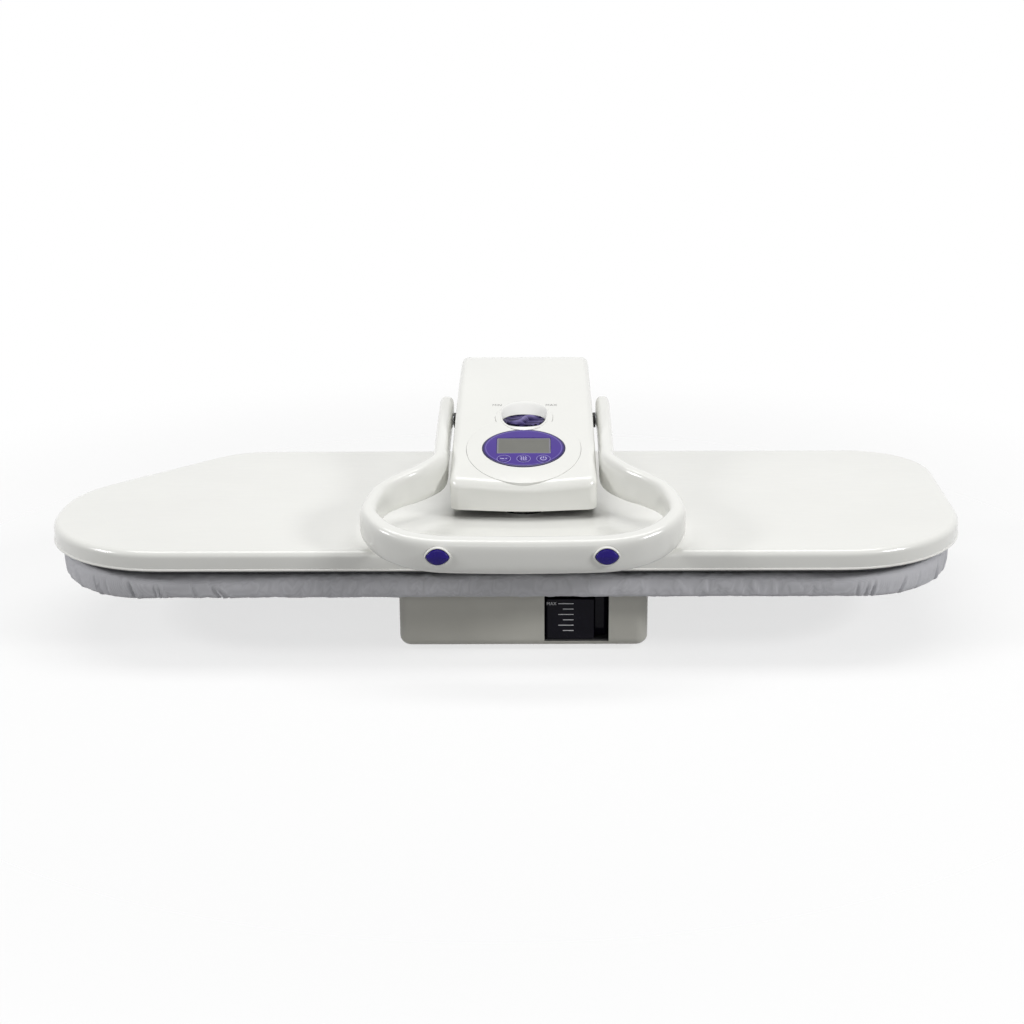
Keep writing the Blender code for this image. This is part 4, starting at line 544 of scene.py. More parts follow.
def printedKey(word, shift, form=panelForm):
    # A violet key with its pale printed sign: minus and dot, steam, or on and off
    finish = Finish("key" + word, (0.058, 0.022, 0.275), 0.22, Coat_Weight=0.15,
                    Coat_Roughness=0.08, Specular_IOR_Level=0.3)
    x, y = finish.local(displayPlace @ Vector((shift, form["keyRow"], 0)), (displaySlope, 0, 0))
    reach = (x * x + y * y) ** 0.5
    soft = 0.00012  # half the blur of a printed edge

    def bar(middleX, middleY, halfX, halfY):
        return abs(x - middleX).below(halfX, soft) * abs(y - middleY).below(halfY, soft)

    if word == "Left":
        sign = bar(-0.0018, 0, 0.0022, 0.0006).highest(bar(0.0027, 0, 0.0009, 0.0006))
    elif word == "Centre":
        bent = (y * 1700.0).sine() * 0.0005
        lines = [abs(x - bent - step).below(0.00045, soft) * abs(y).below(0.0036, soft)
                 for step in (-0.0025, 0, 0.0025)]
        sign = lines[0].highest(lines[1]).highest(lines[2])
    else:
        arc = reach.below(0.0036, soft) - reach.below(0.0027, soft)
        gap = abs(x).below(0.0013, soft) * (y > 0.0)
        sign = (arc - gap).highest(0.0).highest(bar(0, 0.0021, 0.00045, 0.0018))
    clouds = finish.blend(finish.grain(70, 4), (0.042, 0.014, 0.215, 1), (0.055, 0.020, 0.260, 1))
    finish.feed("Base Color", finish.blend(sign * 0.85, clouds, (0.58, 0.55, 0.80, 1)))
    finish.gloss(finish.grain(200, 3), 0.16, 0.26)
    finish.relief(sign * 0.5 + finish.grain(900, 2) * 0.1, 0.12, 0.0002)
    return finish.material


def dialViolet(form=dialForm):
    # Smoky violet dial, nearly black towards its edge as painted shade, paler along the bent grip and
    # in thin streaks as painted highlights
    finish = Finish("dialViolet", (0.035, 0.022, 0.105), 0.3, Specular_IOR_Level=0.03)
    x, y = finish.local(at(consoleX, panelForm["knob"][0], 0), (0, 0, form["angle"]))
    bend = (x * (2 * math.pi / form["length"])).sine() * form["sway"]
    # painted highlight along the grip's crest
    grip = abs(y - bend).below(0.0030, 0.0022) * abs(x).below(0.017, 0.004)
    streak = finish.grain(260, 3, (0.16, 1.5, 0.3), 0.6)
    # thin streaks of painted highlight, from the same noise that also drives the roughness and bumps
    streakGlints = (0.5 - streak).highest(0.0) * 7.0
    reach = (x * x + y * y) ** 0.5
    # painted shade: nearly black towards the dial's edge
    field = finish.blend(reach.below(0.0215, 0.0025), (0.003, 0.002, 0.012, 1),
                         (0.016, 0.010, 0.056, 1))
    field = finish.blend(streakGlints.lowest(1.0) * 0.55, field, (0.24, 0.20, 0.48, 1))
    finish.feed("Base Color", finish.blend(grip * 0.6, field, (0.30, 0.26, 0.52, 1)))
    finish.gloss(streak, 0.24, 0.4)
    finish.relief(streak, 0.08, 0.0003)
    return finish.material


def padCloth():
    # Metallised ironing cloth: fine plain weave, soft sheen, cloudy with use
    finish = Finish("padCloth", (0.56, 0.56, 0.59), 0.6, Sheen_Weight=0.2, Sheen_Roughness=0.4)
    warp, weft, rise = [finish.node("ShaderNodeTexWave", {"bands_direction": axis},
                                    {"Vector": finish.place, "Scale": 330.0, "Distortion": 0.6,
                                     "Detail": 2.0}, 1) for axis in "XYZ"]
    height = finish.node("ShaderNodeSeparateXYZ", None, {0: finish.place}, 2)
    # the level threads show on the rim only
    weave = warp * weft + rise * height.below(0.0975, 0.001) * 0.5
    clouds = finish.grain(7, 5)
    finish.tint(clouds * 0.75 + weave * 0.25, 0.82, 1.15)
    finish.gloss(clouds, 0.52, 0.7)
    finish.relief(weave + finish.grain(60, 4) * 1.5, 0.25, 0.0006)
    return finish.material


finishes = {
    "glossy_white": whiteGloss(),
    # spark-eroded texture
    "warm_grey_plastic": plainFinish("warmGrey", (0.58, 0.571, 0.518), 0.45, (14, 5, 0.95, 1.05),
                                     (130, 4, 0.40, 0.52), (1500, 3, 0.22, 0.0004), IOR=1.48),
    "dark_grey_plastic": darkPlastic("darkGreyPlastic", (0.12, 0.12, 0.12)),
    "black_plastic": darkPlastic("blackPlastic", (0.02, 0.02, 0.021)),
    "black_rubber": plainFinish("blackRubber", (0.022, 0.022, 0.023), 0.75, (60, 5, 0.8, 1.5),
                                (240, 5, 0.62, 0.9), (900, 4, 0.3, 0.0005), IOR=1.45),
    "violet_plastic": plainFinish("keyViolet", (0.013, 0.002, 0.185), 0.24, (70, 4, 0.85, 1.2),
                                  (220, 4, 0.18, 0.3), (900, 3, 0.05, 0.0002),
                                  Coat_Weight=0.05, Coat_Roughness=0.1, Specular_IOR_Level=0.2),
    "display_glass": lcdGlass(),
    "smoked_plastic": plainFinish("smokedTank", (0.004, 0.0035, 0.008), 0.2, (25, 4, 0.7, 1.6),
                                  (60, 5, 0.14, 0.26), (240, 3, 0.02, 0.0003),
                                  Specular_IOR_Level=0.1),
    "grey_cloth": padCloth(),
    "foam": fibres("foam", (0.62, 0.60, 0.50), 160),
    "zinc_steel": zincSteel(),
    "aluminium": castAluminium(),
    "brass": plainFinish("brassFinish", (0.72, 0.50, 0.20), 0.3, (80, 5, 0.8, 1.1),
                         (200, 4, 0.22, 0.42), (700, 3, 0.08, 0.0003), Metallic=1.0),
    "copper_winding": coilFinish(),
    "silicone_hose": plainFinish("siliconeHose", (0.62, 0.62, 0.58), 0.42, (90, 3, 0.93, 1.05),
                                 (300, 3, 0.36, 0.5), (500, 2, 0.05, 0.0003),
                                 Subsurface_Weight=0.15),
    "mineral_wool": fibres("mineralWool", (0.62, 0.56, 0.38), 90),
    "circuit_board": boardFinish(),
    # finishes of single pieces; the scoop behind the dial is matt, so it mirrors nothing, and paler
    # than the console's white, painted light that evens out the scoop's shade
    "darkSoleShade": darkSoleShade(),
    "display": displayViolet(),
    "satin": plainFinish("whiteSatinPaintedLight", (0.88, 0.88, 0.85), 0.6, (12, 4, 0.985, 1.01),
                         (60, 4, 0.52, 0.66), (900, 3, 0.05, 0.0003), Specular_IOR_Level=0.2),
    "dial": dialViolet(),
    "mark_grey": printInk("markGrey", (0.30, 0.30, 0.29)),
    "mark_pale": printInk("markPale", (0.72, 0.72, 0.74)),
}

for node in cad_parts:
    for holder in bpy.data.objects[node].material_slots:
        holder.material = finishes[holder.material.name]
bpy.data.objects["display_lens"].material_slots[0].material = finishes["display"]
# the sole's near-black is painted shade for the gap under the plate
bpy.data.objects["sole_plate"].material_slots[0].material = finishes["darkSoleShade"]
print("finishes on the packed pieces")


def settle(piece, angle, body, slot, finish=None, node=None):
    # Shading, finish, body, slot and, where it stands for one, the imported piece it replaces
    if angle:
        smooth(piece, angle)
    piece.data.materials.clear()
    piece.data.materials.append(finishes[finish or slot])
    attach(piece, body)
    if node:
        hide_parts(*([node] if isinstance(node, str) else node))
    return piece


# Camera

view = {"lens": 63.23, "tilt": 72.0, "roll": 0.14, "spot": (0.034, -1.96185, 0.7470),
        "shift": -0.0273}

lensData = bpy.data.cameras.new("photoView")
lensData.lens = view["lens"]
lensData.sensor_width = 36
lensData.shift_x = view["shift"]
camera = bpy.data.objects.new("photoView", lensData)
bpy.context.scene.collection.objects.link(camera)
camera.location = at(*view["spot"])
camera.rotation_euler = (Matrix.Rotation(math.radians(view["tilt"]), 3, "X")
                         @ Matrix.Rotation(math.radians(-view["roll"]), 3, "Z")).to_euler()
bpy.context.scene.camera = camera
print("camera set")


# Upper plate

plateForm = {
    "corners": [(-0.505, -0.19225, 0.140), (0.497, -0.19225, 0.150), (0.505, 0.19225, 0.090),
                (-0.338, 0.19225, 0.090), (-0.505, 0.01825, 0.130)],
    "bottom": 0.1074, "top": 0.129, "wall": 0.0025, "edge": 0.0075, "flange": 0.0020,
    "flangeOut": 0.0007,
    # middle and radius of the two openings that the console hides
    "openings": ((0.0, -0.040, 0.028), (0.056, 0.060, 0.008)),
}


def buildPlate(form=plateForm):
    # Inner wall from the ceiling down, round the lower flange, up the wall and over the edge
    low, top, wall = form["bottom"], form["top"], form["wall"]
    inner = quarterUp(wall, top - wall, form["edge"] - wall, 3)
    out, flange = -form["flangeOut"], low + form["flange"]
    outer = [(wall, low), (out + 0.0006, low), (out, low + 0.0006), (out, flange - 0.0005),
             (out + 0.0005, flange), (0.0004, flange + 0.0004), (0.0003, flange + 0.002)]
    outer += quarterUp(0.0003, top - 0.0003, form["edge"], 7)
    outer += [(0.012, top - 0.00022), (0.030, top)]
    rings = ringsAt(form["corners"], inner[::-1] + outer, 14, [6, 2, 5, 2, 1])
    shell = growRings("plateShell", rings)
    for x, y, radius in form["openings"]:
        place = (consoleX + x, y, top - wall / 2)
        carve(shell, addRod("openingCutter", 40, radius, 0.012, place))
    return settle(shell, 35, "press_arm", "glossy_white", node="plate_cover")


buildPlate()
print("upper plate done")


# Console

consoleForm = {
    "corners": [(0, -0.09175, 0.260), (0.081, -0.08175, 0.012), (0.0775, 0.23625, 0.028),
                (-0.0775, 0.23625, 0.028), (-0.081, -0.08175, 0.012)],
    "bottom": 0.139, "wall": 0.0025, "edge": 0.009, "bush": (0.0093, 0.080, 0.110, 0.189),
    # the crown climbs from front to rear by a cubic, then rolls down
    "foot": 0.129, "front": -0.08475, "run": 0.290, "rise": (0.042, 0.071, 0.044, 0.001),
    "roll": (0.035, 0.20125),
}


def crownAt(y, wall=0.0, form=consoleForm):
    # Height of the console's crown at depth y
    share = (y - form["front"]) / form["run"]
    start, climb, bulge, twist = form["rise"]
    rise = start + climb * share + bulge * share * (1 - share) + twist * share ** 3
    roll, rollStart = form["roll"]
    over = clamp(y - rollStart, 0.0, roll - wall)
    return form["foot"] + rise - roll + math.sqrt((roll - wall) ** 2 - over ** 2)


def consoleLoop(inset, drop=None, height=0.0, wall=0.0, form=consoleForm):
    points = roundedOutline(form["corners"], inset, 8, [2, 24, 3, 24, 2])
    right = [p for p in points if p.x > 1e-5]
    loop = [Vector((0, min(p.y for p in points)))] + right
    loop += [Vector((0, max(p.y for p in points)))] + [Vector((-p.x, p.y)) for p in right[::-1]]
    return [at(consoleX + p.x, p.y, height if drop is None else crownAt(p.y, wall) - drop)
            for p in loop]


def keyholeCutter(name, grow, form=panelForm):
    # Two cylinders in plan, joined: the large one round the display, the small one round the knob
    low, high = form["cut"]
    pieces = []
    for y, radius, sides in (form["display"], form["knob"]):
        wide = radius + grow
        pieces.append(addRod(name, sides, 1, high - low, (consoleX, y, (low + high) / 2),
                             scale=(wide, wide * math.cos(displaySlope), 1)))
    carve(pieces[0], pieces[1], "UNION")
    return pieces[0]


def buildConsole(form=consoleForm):
    wall, edge, low = form["wall"], form["edge"], form["bottom"]
    inner = [consoleLoop(wall + (edge - wall) * (1 - math.cos(a)),
                         drop=(edge - wall) * (1 - math.sin(a)), wall=wall) for a in quarter(8)[::2]]
    lower = [consoleLoop(inset, height=low + lift)
             for inset, lift in ((wall, 0), (0.0006, 0), (0, 0.0006), (0, 0.004))]
    outer = [consoleLoop(edge * (1 - math.cos(a)), drop=edge * (1 - math.sin(a)))
             for a in quarter(8)]
    outer.append(consoleLoop(edge + 0.004, drop=0))
    shell = growRings("consoleShell", inner[::-1] + lower + outer, ("crown", "crown"))
    carve(shell, keyholeCutter("keyholeCutter", 0.0003))
    radius, x, y, z = form["bush"]
    for side in (-1, 1):
        place = (consoleX + side * x, y, z)
        carve(shell, addRod("bushCutter", 40, radius, 0.04, place, sideways))
    return settle(shell, 35, "press_arm", "glossy_white", node="console_housing")


consoleShell = buildConsole()
print("console done")


# Neck and springs round the hinge

hingeAxis = (0.22425, 0.121)
neckForm = {"radius": 0.024, "half": 0.0745, "wall": 0.0025, "rear": 0.23625, "top": 0.1387,
            "edge": 0.0030, "slot": (0.046, 0.2064, 0.134), "link": (0.0455, 0.0495)}


def neckProfile(pull, lift=0.0, form=neckForm):
    # From the front wall, round under the hinge and up to the console's rear
    hingeY, hingeZ = hingeAxis
    radius, top = form["radius"] - pull, form["top"] + lift
    turns = [math.pi * (1 + k / 36) for k in range(37)]
    arc = [(hingeY + radius * math.cos(a), hingeZ + radius * math.sin(a)) for a in turns]
    return [(hingeY - radius, top)] + arc + [(form["rear"] - pull, top)]


def buildNeck(form=neckForm):
    half, edge, wall, top = form["half"], form["edge"], form["wall"], form["top"]
    hingeY, hingeZ = hingeAxis
    front = hingeY - form["radius"]
    stations = [(-half + edge * (1 - math.sin(a)), edge * (1 - math.cos(a))) for a in quarter(5)]
    stations = stations[::-1] + [(-x, pull) for x, pull in stations]
    rings = [[at(consoleX + x, y, z) for y, z in neckProfile(pull)] for x, pull in stations]
    neck = growRings("neckShell", sorted(rings, key=lambda ring: ring[0].x))
    inside = [[at(consoleX + x, y, z) for y, z in neckProfile(wall, 0.004)]
              for x in (wall - half, half - wall)]
    carve(neck, growRings("neckInside", inside))
    slotHalf, slotFront, slotTop = form["slot"]
    near, far = form["link"]
    boxes = [((consoleX - slotHalf, slotFront, 0.09), (consoleX + slotHalf, 0.26, slotTop)),
             ((consoleX - far, front - 0.002, hingeZ),
              (consoleX - near, front + wall + 0.002, top + 0.002))]
    for first, last in boxes:
        carve(neck, addBlock("openingCutter", first, last))
    soften(neck, 0.0006, 2, 60)
    return settle(neck, 40, "press_arm", "glossy_white", node="neck_cover")


springForm = {"wire": 0.00065, "radius": 0.0115, "turns": 4.3, "reach": 0.01462,
              "start": 0.0324, "foot": (0.23665, 0.0848), "steps": 120}


def buildSpring(word, side, form=springForm):
    # Foot on the stand, coil round the pin, tip under the arm
    hingeY, hingeZ = hingeAxis
    radius, steps = form["radius"], form["steps"]
    start = consoleX + side * form["start"]
    route = [(start, *form["foot"])]
    for k in range(steps + 1):
        turn = -math.pi / 2 + 2 * math.pi * form["turns"] * k / steps
        route.append((start - side * form["reach"] * k / steps,
                      hingeY + radius * math.cos(turn), hingeZ + radius * math.sin(turn)))
    x, y, z = route[-1]
    route.append((x, y - math.sin(turn) * radius, z + math.cos(turn) * radius))
    data = bpy.data.curves.new("liftSpring" + word, "CURVE")
    setAll(data, {"dimensions": "3D", "bevel_depth": form["wire"], "bevel_resolution": 3,
                  "use_fill_caps": True})
    line = data.splines.new("POLY")
    line.points.add(len(route) - 1)
    for dot, place in zip(line.points, route):
        dot.co = (*at(*place), 1)
    spring = bpy.data.objects.new("liftSpring" + word, data)
    bpy.context.scene.collection.objects.link(spring)
    goTo(spring)
    bpy.ops.object.convert(target="MESH")
    return settle(spring, 60, "base", "zinc_steel", node="lift_spring_" + word.lower())


buildNeck()
buildSpring("Left", -1)
buildSpring("Right", 1)
print("neck and springs done")


# Control panel on the console

cupFloor = crownAt(panelForm["knob"][0]) - panelForm["cupDepth"]


def ovalRing(halfX, halfY, height):
    # A ring in the display's own plane
    return [displayPlace @ Vector((halfX * c, halfY * s, height)) for c, s in spokes(96)]


def keyRing(place, radius, height, form=panelForm):
    # A ring round one of the three keys
    return [displayPlace @ Vector((place * form["keyPitch"] + radius * c,
                                   form["keyRow"] + radius * s, height))
            for c, s in spokes(48, 0)]


def lcdRing(trim, height, segments=5, form=panelForm):
    halfX, halfY, shift = form["lcd"]
    corners = rectangle(trim - halfX, halfX - trim, shift - halfY + trim, shift + halfY - trim,
                        0.0012)
    return [displayPlace @ Vector((p.x, p.y, height))
            for p in roundedOutline(corners, 0, segments)]


def rearShare(sine):
    # How much of a direction points to the rear, where the bowl opens into its scoop
    return max(0.0, sine) ** 1.3


def buildPanel(form=panelForm):
    panel = keyholeCutter("panelFace", 0)
    stations = [-0.095 + 0.170 * k / 40 for k in range(41)]
    band = [(y, crownAt(y) - form["depth"]) for y in stations]
    band += [(y, crownAt(y) + form["raise"]) for y in reversed(stations)]
    slab = growRings("slab", [[at(consoleX + x, y, z) for y, z in band] for x in (-0.07, 0.07)])
    carve(panel, slab, "INTERSECT")
    soften(panel, 0.0007, 3, 50)
    # The hole follows the scoop, which is wider at the rear
    hole = []
    for c, s in spokes(96):
        r = form["cup"] + 0.0019 + (form["scoop"] - 0.001) * rearShare(s)
        hole.append((consoleX + r * c, form["knob"][0] + r * s))
    cutter = growRings("cupHole", [[at(x, y, z) for x, y in hole] for z in (0.16, 0.24)])
    carve(consoleShell, cutter, keep=True)
    smooth(consoleShell, 35)
    carve(panel, cutter)
    lensX, lensY = form["lens"]
    under = -form["lensThick"] - 0.0003
    seat = [(0.0003, under), (0.0003, -0.0004), (0.0008, 0.0001), (0.0012, 0.003)]
    ledge = [(-0.0018, -0.008), (-0.0018, 0.001)]
    for name, levels in (("lensSeat", seat), ("lensLedge", ledge)):
        rings = [ovalRing(lensX + grow, lensY + grow, z) for grow, z in levels]
        carve(panel, growRings(name, rings))
    return settle(panel, 35, "press_arm", "glossy_white", node="control_insert")


def buildCup(form=panelForm):
    # The bowl that the dial sinks into: a level lip in front, a soft scoop behind
    low, inside, middle = cupFloor, form["cup"], form["knob"][0]
    foot = low + 0.0008
    columns = []
    for c, s in spokes(96):
        rear = rearShare(s)
        wide = inside + form["scoop"] * rear  # radius where the scoop meets the face
        face = crownAt(middle + wide * s) + form["raise"] * (1 - min(1.0, rear * 1.6))
        crest = max(face + 0.0004 * (1 - 0.8 * rear), low + 0.0050)
        lift = crest - face
        # up the outside, over the lip, down the bowl's wall and to its floor
        column = [(inside + 0.0003, low - 0.0018), (inside + 0.0018, low - 0.0014),
                  (inside + 0.0018, min(face - 0.0014, low + 0.0006)),
                  (wide + 0.0021 + lift * 0.9, face - 0.0006),
                  (wide + 0.0022 + lift * 0.9, face + 0.00008),
                  (wide + 0.0017 + lift * 0.35, face + lift * 0.45),
                  (wide + 0.0011, crest + 0.0001), (wide + 0.0005, crest + 0.00025)]
        ramp = min(1.0, rear * 2)
        for turn in quarter(8)[::-1]:
            part = turn / (math.pi / 2)
            out = (1 - math.cos(turn)) * (1 - ramp) + part * ramp
            lean = part - 0.06 * max(0.0, part * 4 - 3) ** 2
            up = math.sin(turn) * (1 - ramp) + lean / 0.94 * ramp
            column.append((inside + (wide - inside) * out, min(foot + (crest - foot) * up, crest)))
        column.append((inside - 0.0010, low))
        columns.append([at(consoleX + r * c, middle + r * s, z) for r, z in column])
    cup = growRings("dialCup", list(zip(*columns)))
    carve(cup, addRod("stemHole", 32, 0.0033, 0.006, (consoleX, middle, low)))
    settle(cup, 50, "press_arm", "glossy_white", "satin")
    # only the bowl is matt and paler, painted light over its shade, and its lip has the gloss of the
    # face round it
    cup.data.materials.append(finishes["glossy_white"])
    for face in cup.data.polygons:
        spot = face.center - at(consoleX, middle, 0)
        away = math.hypot(spot.x, spot.y)
        lip = away > inside + form["scoop"] * rearShare(spot.y / max(1e-6, away)) - 0.0003
        face.material_index = 1 if lip else 0
    return cup


def buildWindow(form=panelForm):
    # The violet oval: a thin domed plate with openings for the liquid crystal and three keys
    lensX, lensY = form["lens"]
    thick, through = form["lensThick"], (-0.006, 0.004)
    levels = [(0.0003, -thick), (0, -thick + 0.0003), (0, -0.0006), (0.0002, -0.0002),
              (0.0007, 0.0)]
    rings = [ovalRing(lensX - inset, lensY - inset, z) for inset, z in levels]
    for step in range(1, 9):
        share = 1 - step / 9
        rings.append(ovalRing((lensX - 0.0007) * share, (lensY - 0.0007) * share,
                              form["dome"] * (1 - share ** 2)))
    window = growRings("displayWindow", rings)
    carve(window, growRings("lcdHole", [lcdRing(0.0006, z, 6) for z in through]))
    for place in (-1, 0, 1):
        hole = [keyRing(place, form["keyRadius"] + 0.0003, z) for z in through]
        carve(window, growRings("keyHole", hole))
    return settle(window, 35, "press_arm", "violet_plastic", "display", "display_lens")


def buildLcd(form=panelForm):
    under = -form["lensThick"] - 0.0003
    levels = [(0, under - 0.004), (0, under), (0.0009, under), (0.0009, -0.0003), (0.0011, 0.0),
              (0.0022, 0.0), (0.0025, -0.0003)]
    lcd = growRings("lcdFace", [lcdRing(trim, z) for trim, z in levels])
    return settle(lcd, 30, "press_arm", "display_glass", node="lcd_panel")


def buildKey(word, place, form=panelForm):
    # A round key with a soft edge and a shallow thumb dish
    under, top, radius = -form["lensThick"] - 0.0003, form["keyTop"], form["keyRadius"]
    profile = [(0.003, under - 0.0032), (0.003, under - 0.0012), (0.0068, under - 0.0012),
               (0.0068, under), (radius, under), (radius, top - 0.0005),
               (radius - 0.00015, top - 0.00015), (radius - 0.0005, top), (0.0044, top - 0.00005),
               (0.0030, top - 0.0002), (0.0015, top - 0.0003), (0.0004, top - 0.00032)]
    key = growRings("key" + word, [keyRing(place, r, z) for r, z in profile])
    finishes["key" + word] = printedKey(word, place * form["keyPitch"])
    low = word.lower()
    return settle(key, 40, "button_" + low, "violet_plastic", "key" + word, "panel_button_" + low)


buildPanel()
buildCup()
buildWindow()
buildLcd()
for word, place in (("Left", -1), ("Centre", 0), ("Right", 1)):
    buildKey(word, place)
print("control panel done")


# Temperature dial and the two marks beside it

def buildDial(form=dialForm):
    # The face's height is a shallow dish with a grip that bends like an S across it
    radius, height, angle = form["radius"], form["height"], form["angle"]
    centre = at(consoleX, panelForm["knob"][0], cupFloor + 0.0003)
    steps = 26

    def faceHeight(x, y):
        u = x * math.cos(angle) + y * math.sin(angle)
        v = -x * math.sin(angle) + y * math.cos(angle)
        reach = min(1.0, math.hypot(x, y) / radius)
        share = clamp(u / form["length"], -0.5, 0.5)
        middle = form["sway"] * math.sin(2 * math.pi * share)
        half = form["width"] / 2 * (0.35 + 0.65 * math.cos(math.pi * share * 0.96))
        across = min(1.0, abs(v - middle) / half)
        ridge = (1 - across ** 1.7) * math.cos(math.pi * share * 0.98) ** 0.35
        bowl = form["dish"] * (1 - reach ** 4)
        return height - bowl + (form["wing"] + bowl * 0.6) * max(0.0, ridge)

    def ring(r, z=None):
        dots = [(r * c, r * s) for c, s in spokes(120)]
        return [centre + Vector((x, y, faceHeight(x, y) if z is None else z)) for x, y in dots]

    rings = [ring(form["stem"], -0.003), ring(form["stem"], 0.0), ring(radius - 0.0006, 0.0),
             ring(radius, 0.0006), ring(radius, height - 0.0014),
             ring(radius - 0.0003, height - 0.0005), ring(radius - 0.0011, height)]
    rings += [ring((radius - 0.0018) * (1 - k / steps)) for k in range(steps)]
    dial = growRings("temperatureDial", rings)
    return settle(dial, 60, "knob", "violet_plastic", "dial", "temperature_knob")


def layText(name, words, size, place, body, slot, ink, thick):
    # Flat letters, made a mesh before they are laid on the face
    freeHands()
    bpy.ops.object.text_add(location=(0, 0, 0))
    letters = bpy.context.object
    setAll(letters.data, {"body": words, "size": size, "align_x": "CENTER", "align_y": "CENTER",
                          "extrude": thick / 2, "resolution_u": 3, "space_character": 1.05})
    bpy.ops.object.convert(target="MESH")
    letters.name = letters.data.name = name
    letters.data.transform(place)
    return settle(letters, 0, body, slot, ink)


def onCrown(x, y, lift):
    # A place on the console's crown, turned with its slope
    slope = math.atan2(crownAt(y + 0.004) - crownAt(y - 0.004), 0.008)
    return (Matrix.Translation(at(consoleX + x, y, crownAt(y) + lift))
            @ Matrix.Rotation(slope, 4, "X"))


markForm = {"size": 0.0062, "x": 0.0315, "y": 0.0655, "lift": 0.00005, "thick": 0.0002}

buildDial()
for word, side in (("Min", -1), ("Max", 1)):
    spot = onCrown(side * markForm["x"], markForm["y"], markForm["lift"])
    layText("mark" + word, word.upper(), markForm["size"], spot, "press_arm",
            "dark_grey_plastic", "mark_grey", markForm["thick"])
print("dial done")


# Handle

handleForm = {
    "pivot": (0.110, 0.189), "offset": 0.0930, "half": 0.1600, "bar": (-0.2365, 0.1403),
    "arm": (0.017, 0.032), "barSize": (0.025, 0.0375), "swell": 0.60, "swellPower": 2.2,
    "blade": (0.010, 0.46, 0.16), "section": 0.62, "tail": 0.014, "sides": 40,
    "shaft": (0.0063, 0.1936), "pocket": (-0.2560, -0.2390),
    # the run from pivot to bar: shares of the way outwards, forwards and down
    "shares": [(0.000, -0.052, -0.170), (0.006, 0.163, 0.060), (0.000, 0.365, 0.255),
               (0.020, 0.455, 0.341), (0.310, 0.540, 0.424), (0.600, 0.592, 0.475),
               (0.860, 0.655, 0.536), (0.985, 0.735, 0.612), (1.020, 0.815, 0.694),
               (0.915, 0.873, 0.765), (0.725, 0.924, 0.848), (0.480, 0.957, 0.916),
               (0.240, 0.978, 0.957), (-0.122, 0.993, 0.988), (-0.794, 0.998, 0.998)],
}


def handleRings(form=handleForm):
    pivotY, pivotZ = form["pivot"]
    barY, barZ = form["bar"]
    spread = form["half"] - form["offset"]
    left = [Vector((-(form["offset"] + spread * side), pivotY + (barY - pivotY) * out,
                    pivotZ + (barZ - pivotZ) * down)) for side, out, down in form["shares"]]
    spine = softCurve(left + [Vector((0, barY, barZ))], 5)
    spine += [Vector((-p.x, p.y, p.z)) for p in reversed(spine[:-1])]
    section = form["section"]
    extra, middle, reach = form["blade"]
    rings = []
    for i, place in enumerate(spine):
        along = (spine[min(i + 1, len(spine) - 1)] - spine[max(i - 1, 0)]).normalized()
        side = along.cross(Vector((0, 0, 1))).normalized()
        upright = side.cross(along).normalized()
        share = clamp((pivotY - place.y) / (pivotY - barY))
        grown = max(0.0, (share - form["swell"]) / (1 - form["swell"])) ** form["swellPower"]
        width, height = [arm + (bar - arm) * grown
                         for arm, bar in zip(form["arm"], form["barSize"])]
        height += extra * math.exp(-((share - middle) / reach) ** 2)
        rings.append([place + side * math.copysign(abs(c) ** section, c) * width / 2
                      + upright * math.copysign(abs(s) ** section, s) * height / 2
                      for c, s in spokes(form["sides"])])
    for end, near in ((0, 1), (-1, -2)):
        outward = (spine[end] - spine[near]).normalized()
        tails = [[spine[end] + outward * form["tail"] * step
                  + (p - spine[end]) * math.sqrt(1 - step ** 2) for p in rings[end]]
                 for step in (0.2, 0.4, 0.58, 0.74, 0.86, 0.94, 0.985)]
        rings = tails[::-1] + rings if end == 0 else rings + tails
    return [[at(consoleX + p.x, p.y, p.z) for p in ring] for ring in rings]


buttonForm = {"half": (0.0122, 0.0083), "offset": 0.0857, "z": 0.1428, "front": -0.2490,
              "proud": 0.0030, "body": 0.010, "steps": 24}


def eyeRing(side, y, grow=0.0, wide=1, tall=1, form=buttonForm):
    # An eye: two flat arches that meet in slightly rounded points at the left and the right
    halfX, halfZ = form["half"]
    ring = []
    for part in (1, -1):
        for k in range(form["steps"]):
            x = part * halfX * math.cos(math.pi * k / form["steps"])
            reach = min(1.0, abs(x) / halfX)
            z = part * halfZ * (1 - reach ** 2.1) ** 0.86
            x *= 1 - 0.04 * max(0.0, (reach - 0.9) / 0.1)
            away = math.hypot(x / halfX, z / halfZ) or 1
            x += grow * x / halfX / away
            z += grow * z / halfZ / away
            ring.append(at(consoleX + side * form["offset"] + x * wide, y, form["z"] + z * tall))
    return ring


def buildHandle(form=handleForm):
    bow = growRings("handleBow", handleRings())
    radius, length = form["shaft"]
    carve(bow, addRod("shaftCutter", 40, radius, length, (consoleX, *form["pivot"]), sideways))
    for side in (-1, 1):
        # the button's eye outline, run along the bar's depth
        pocket = [eyeRing(side, y, 0.0003) for y in form["pocket"]]
        carve(bow, growRings("pocketCutter", pocket))
    return settle(bow, 40, "lever", "glossy_white", node="handle")


def buildButton(word, side, form=buttonForm):
    # Upper and lower facets that meet in a level ridge
    face, body = form["front"] - form["proud"], form["body"]
    levels = [(0.97, 0.97, body), (1, 1, body - 0.0004), (1, 1, 0.0024), (0.985, 0.975, 0.0019),
              (0.95, 0.90, 0.00145), (0.90, 0.70, 0.0010), (0.84, 0.45, 0.00055),
              (0.78, 0.20, 0.00018), (0.75, 0.07, 0)]
    rings = [eyeRing(side, face + y, 0, wide, tall) for wide, tall, y in levels]
    low = word.lower()
    return settle(growRings("leverButton" + word, rings), 28, "lever_button_" + low,
                  "violet_plastic", node="handle_button_" + low)


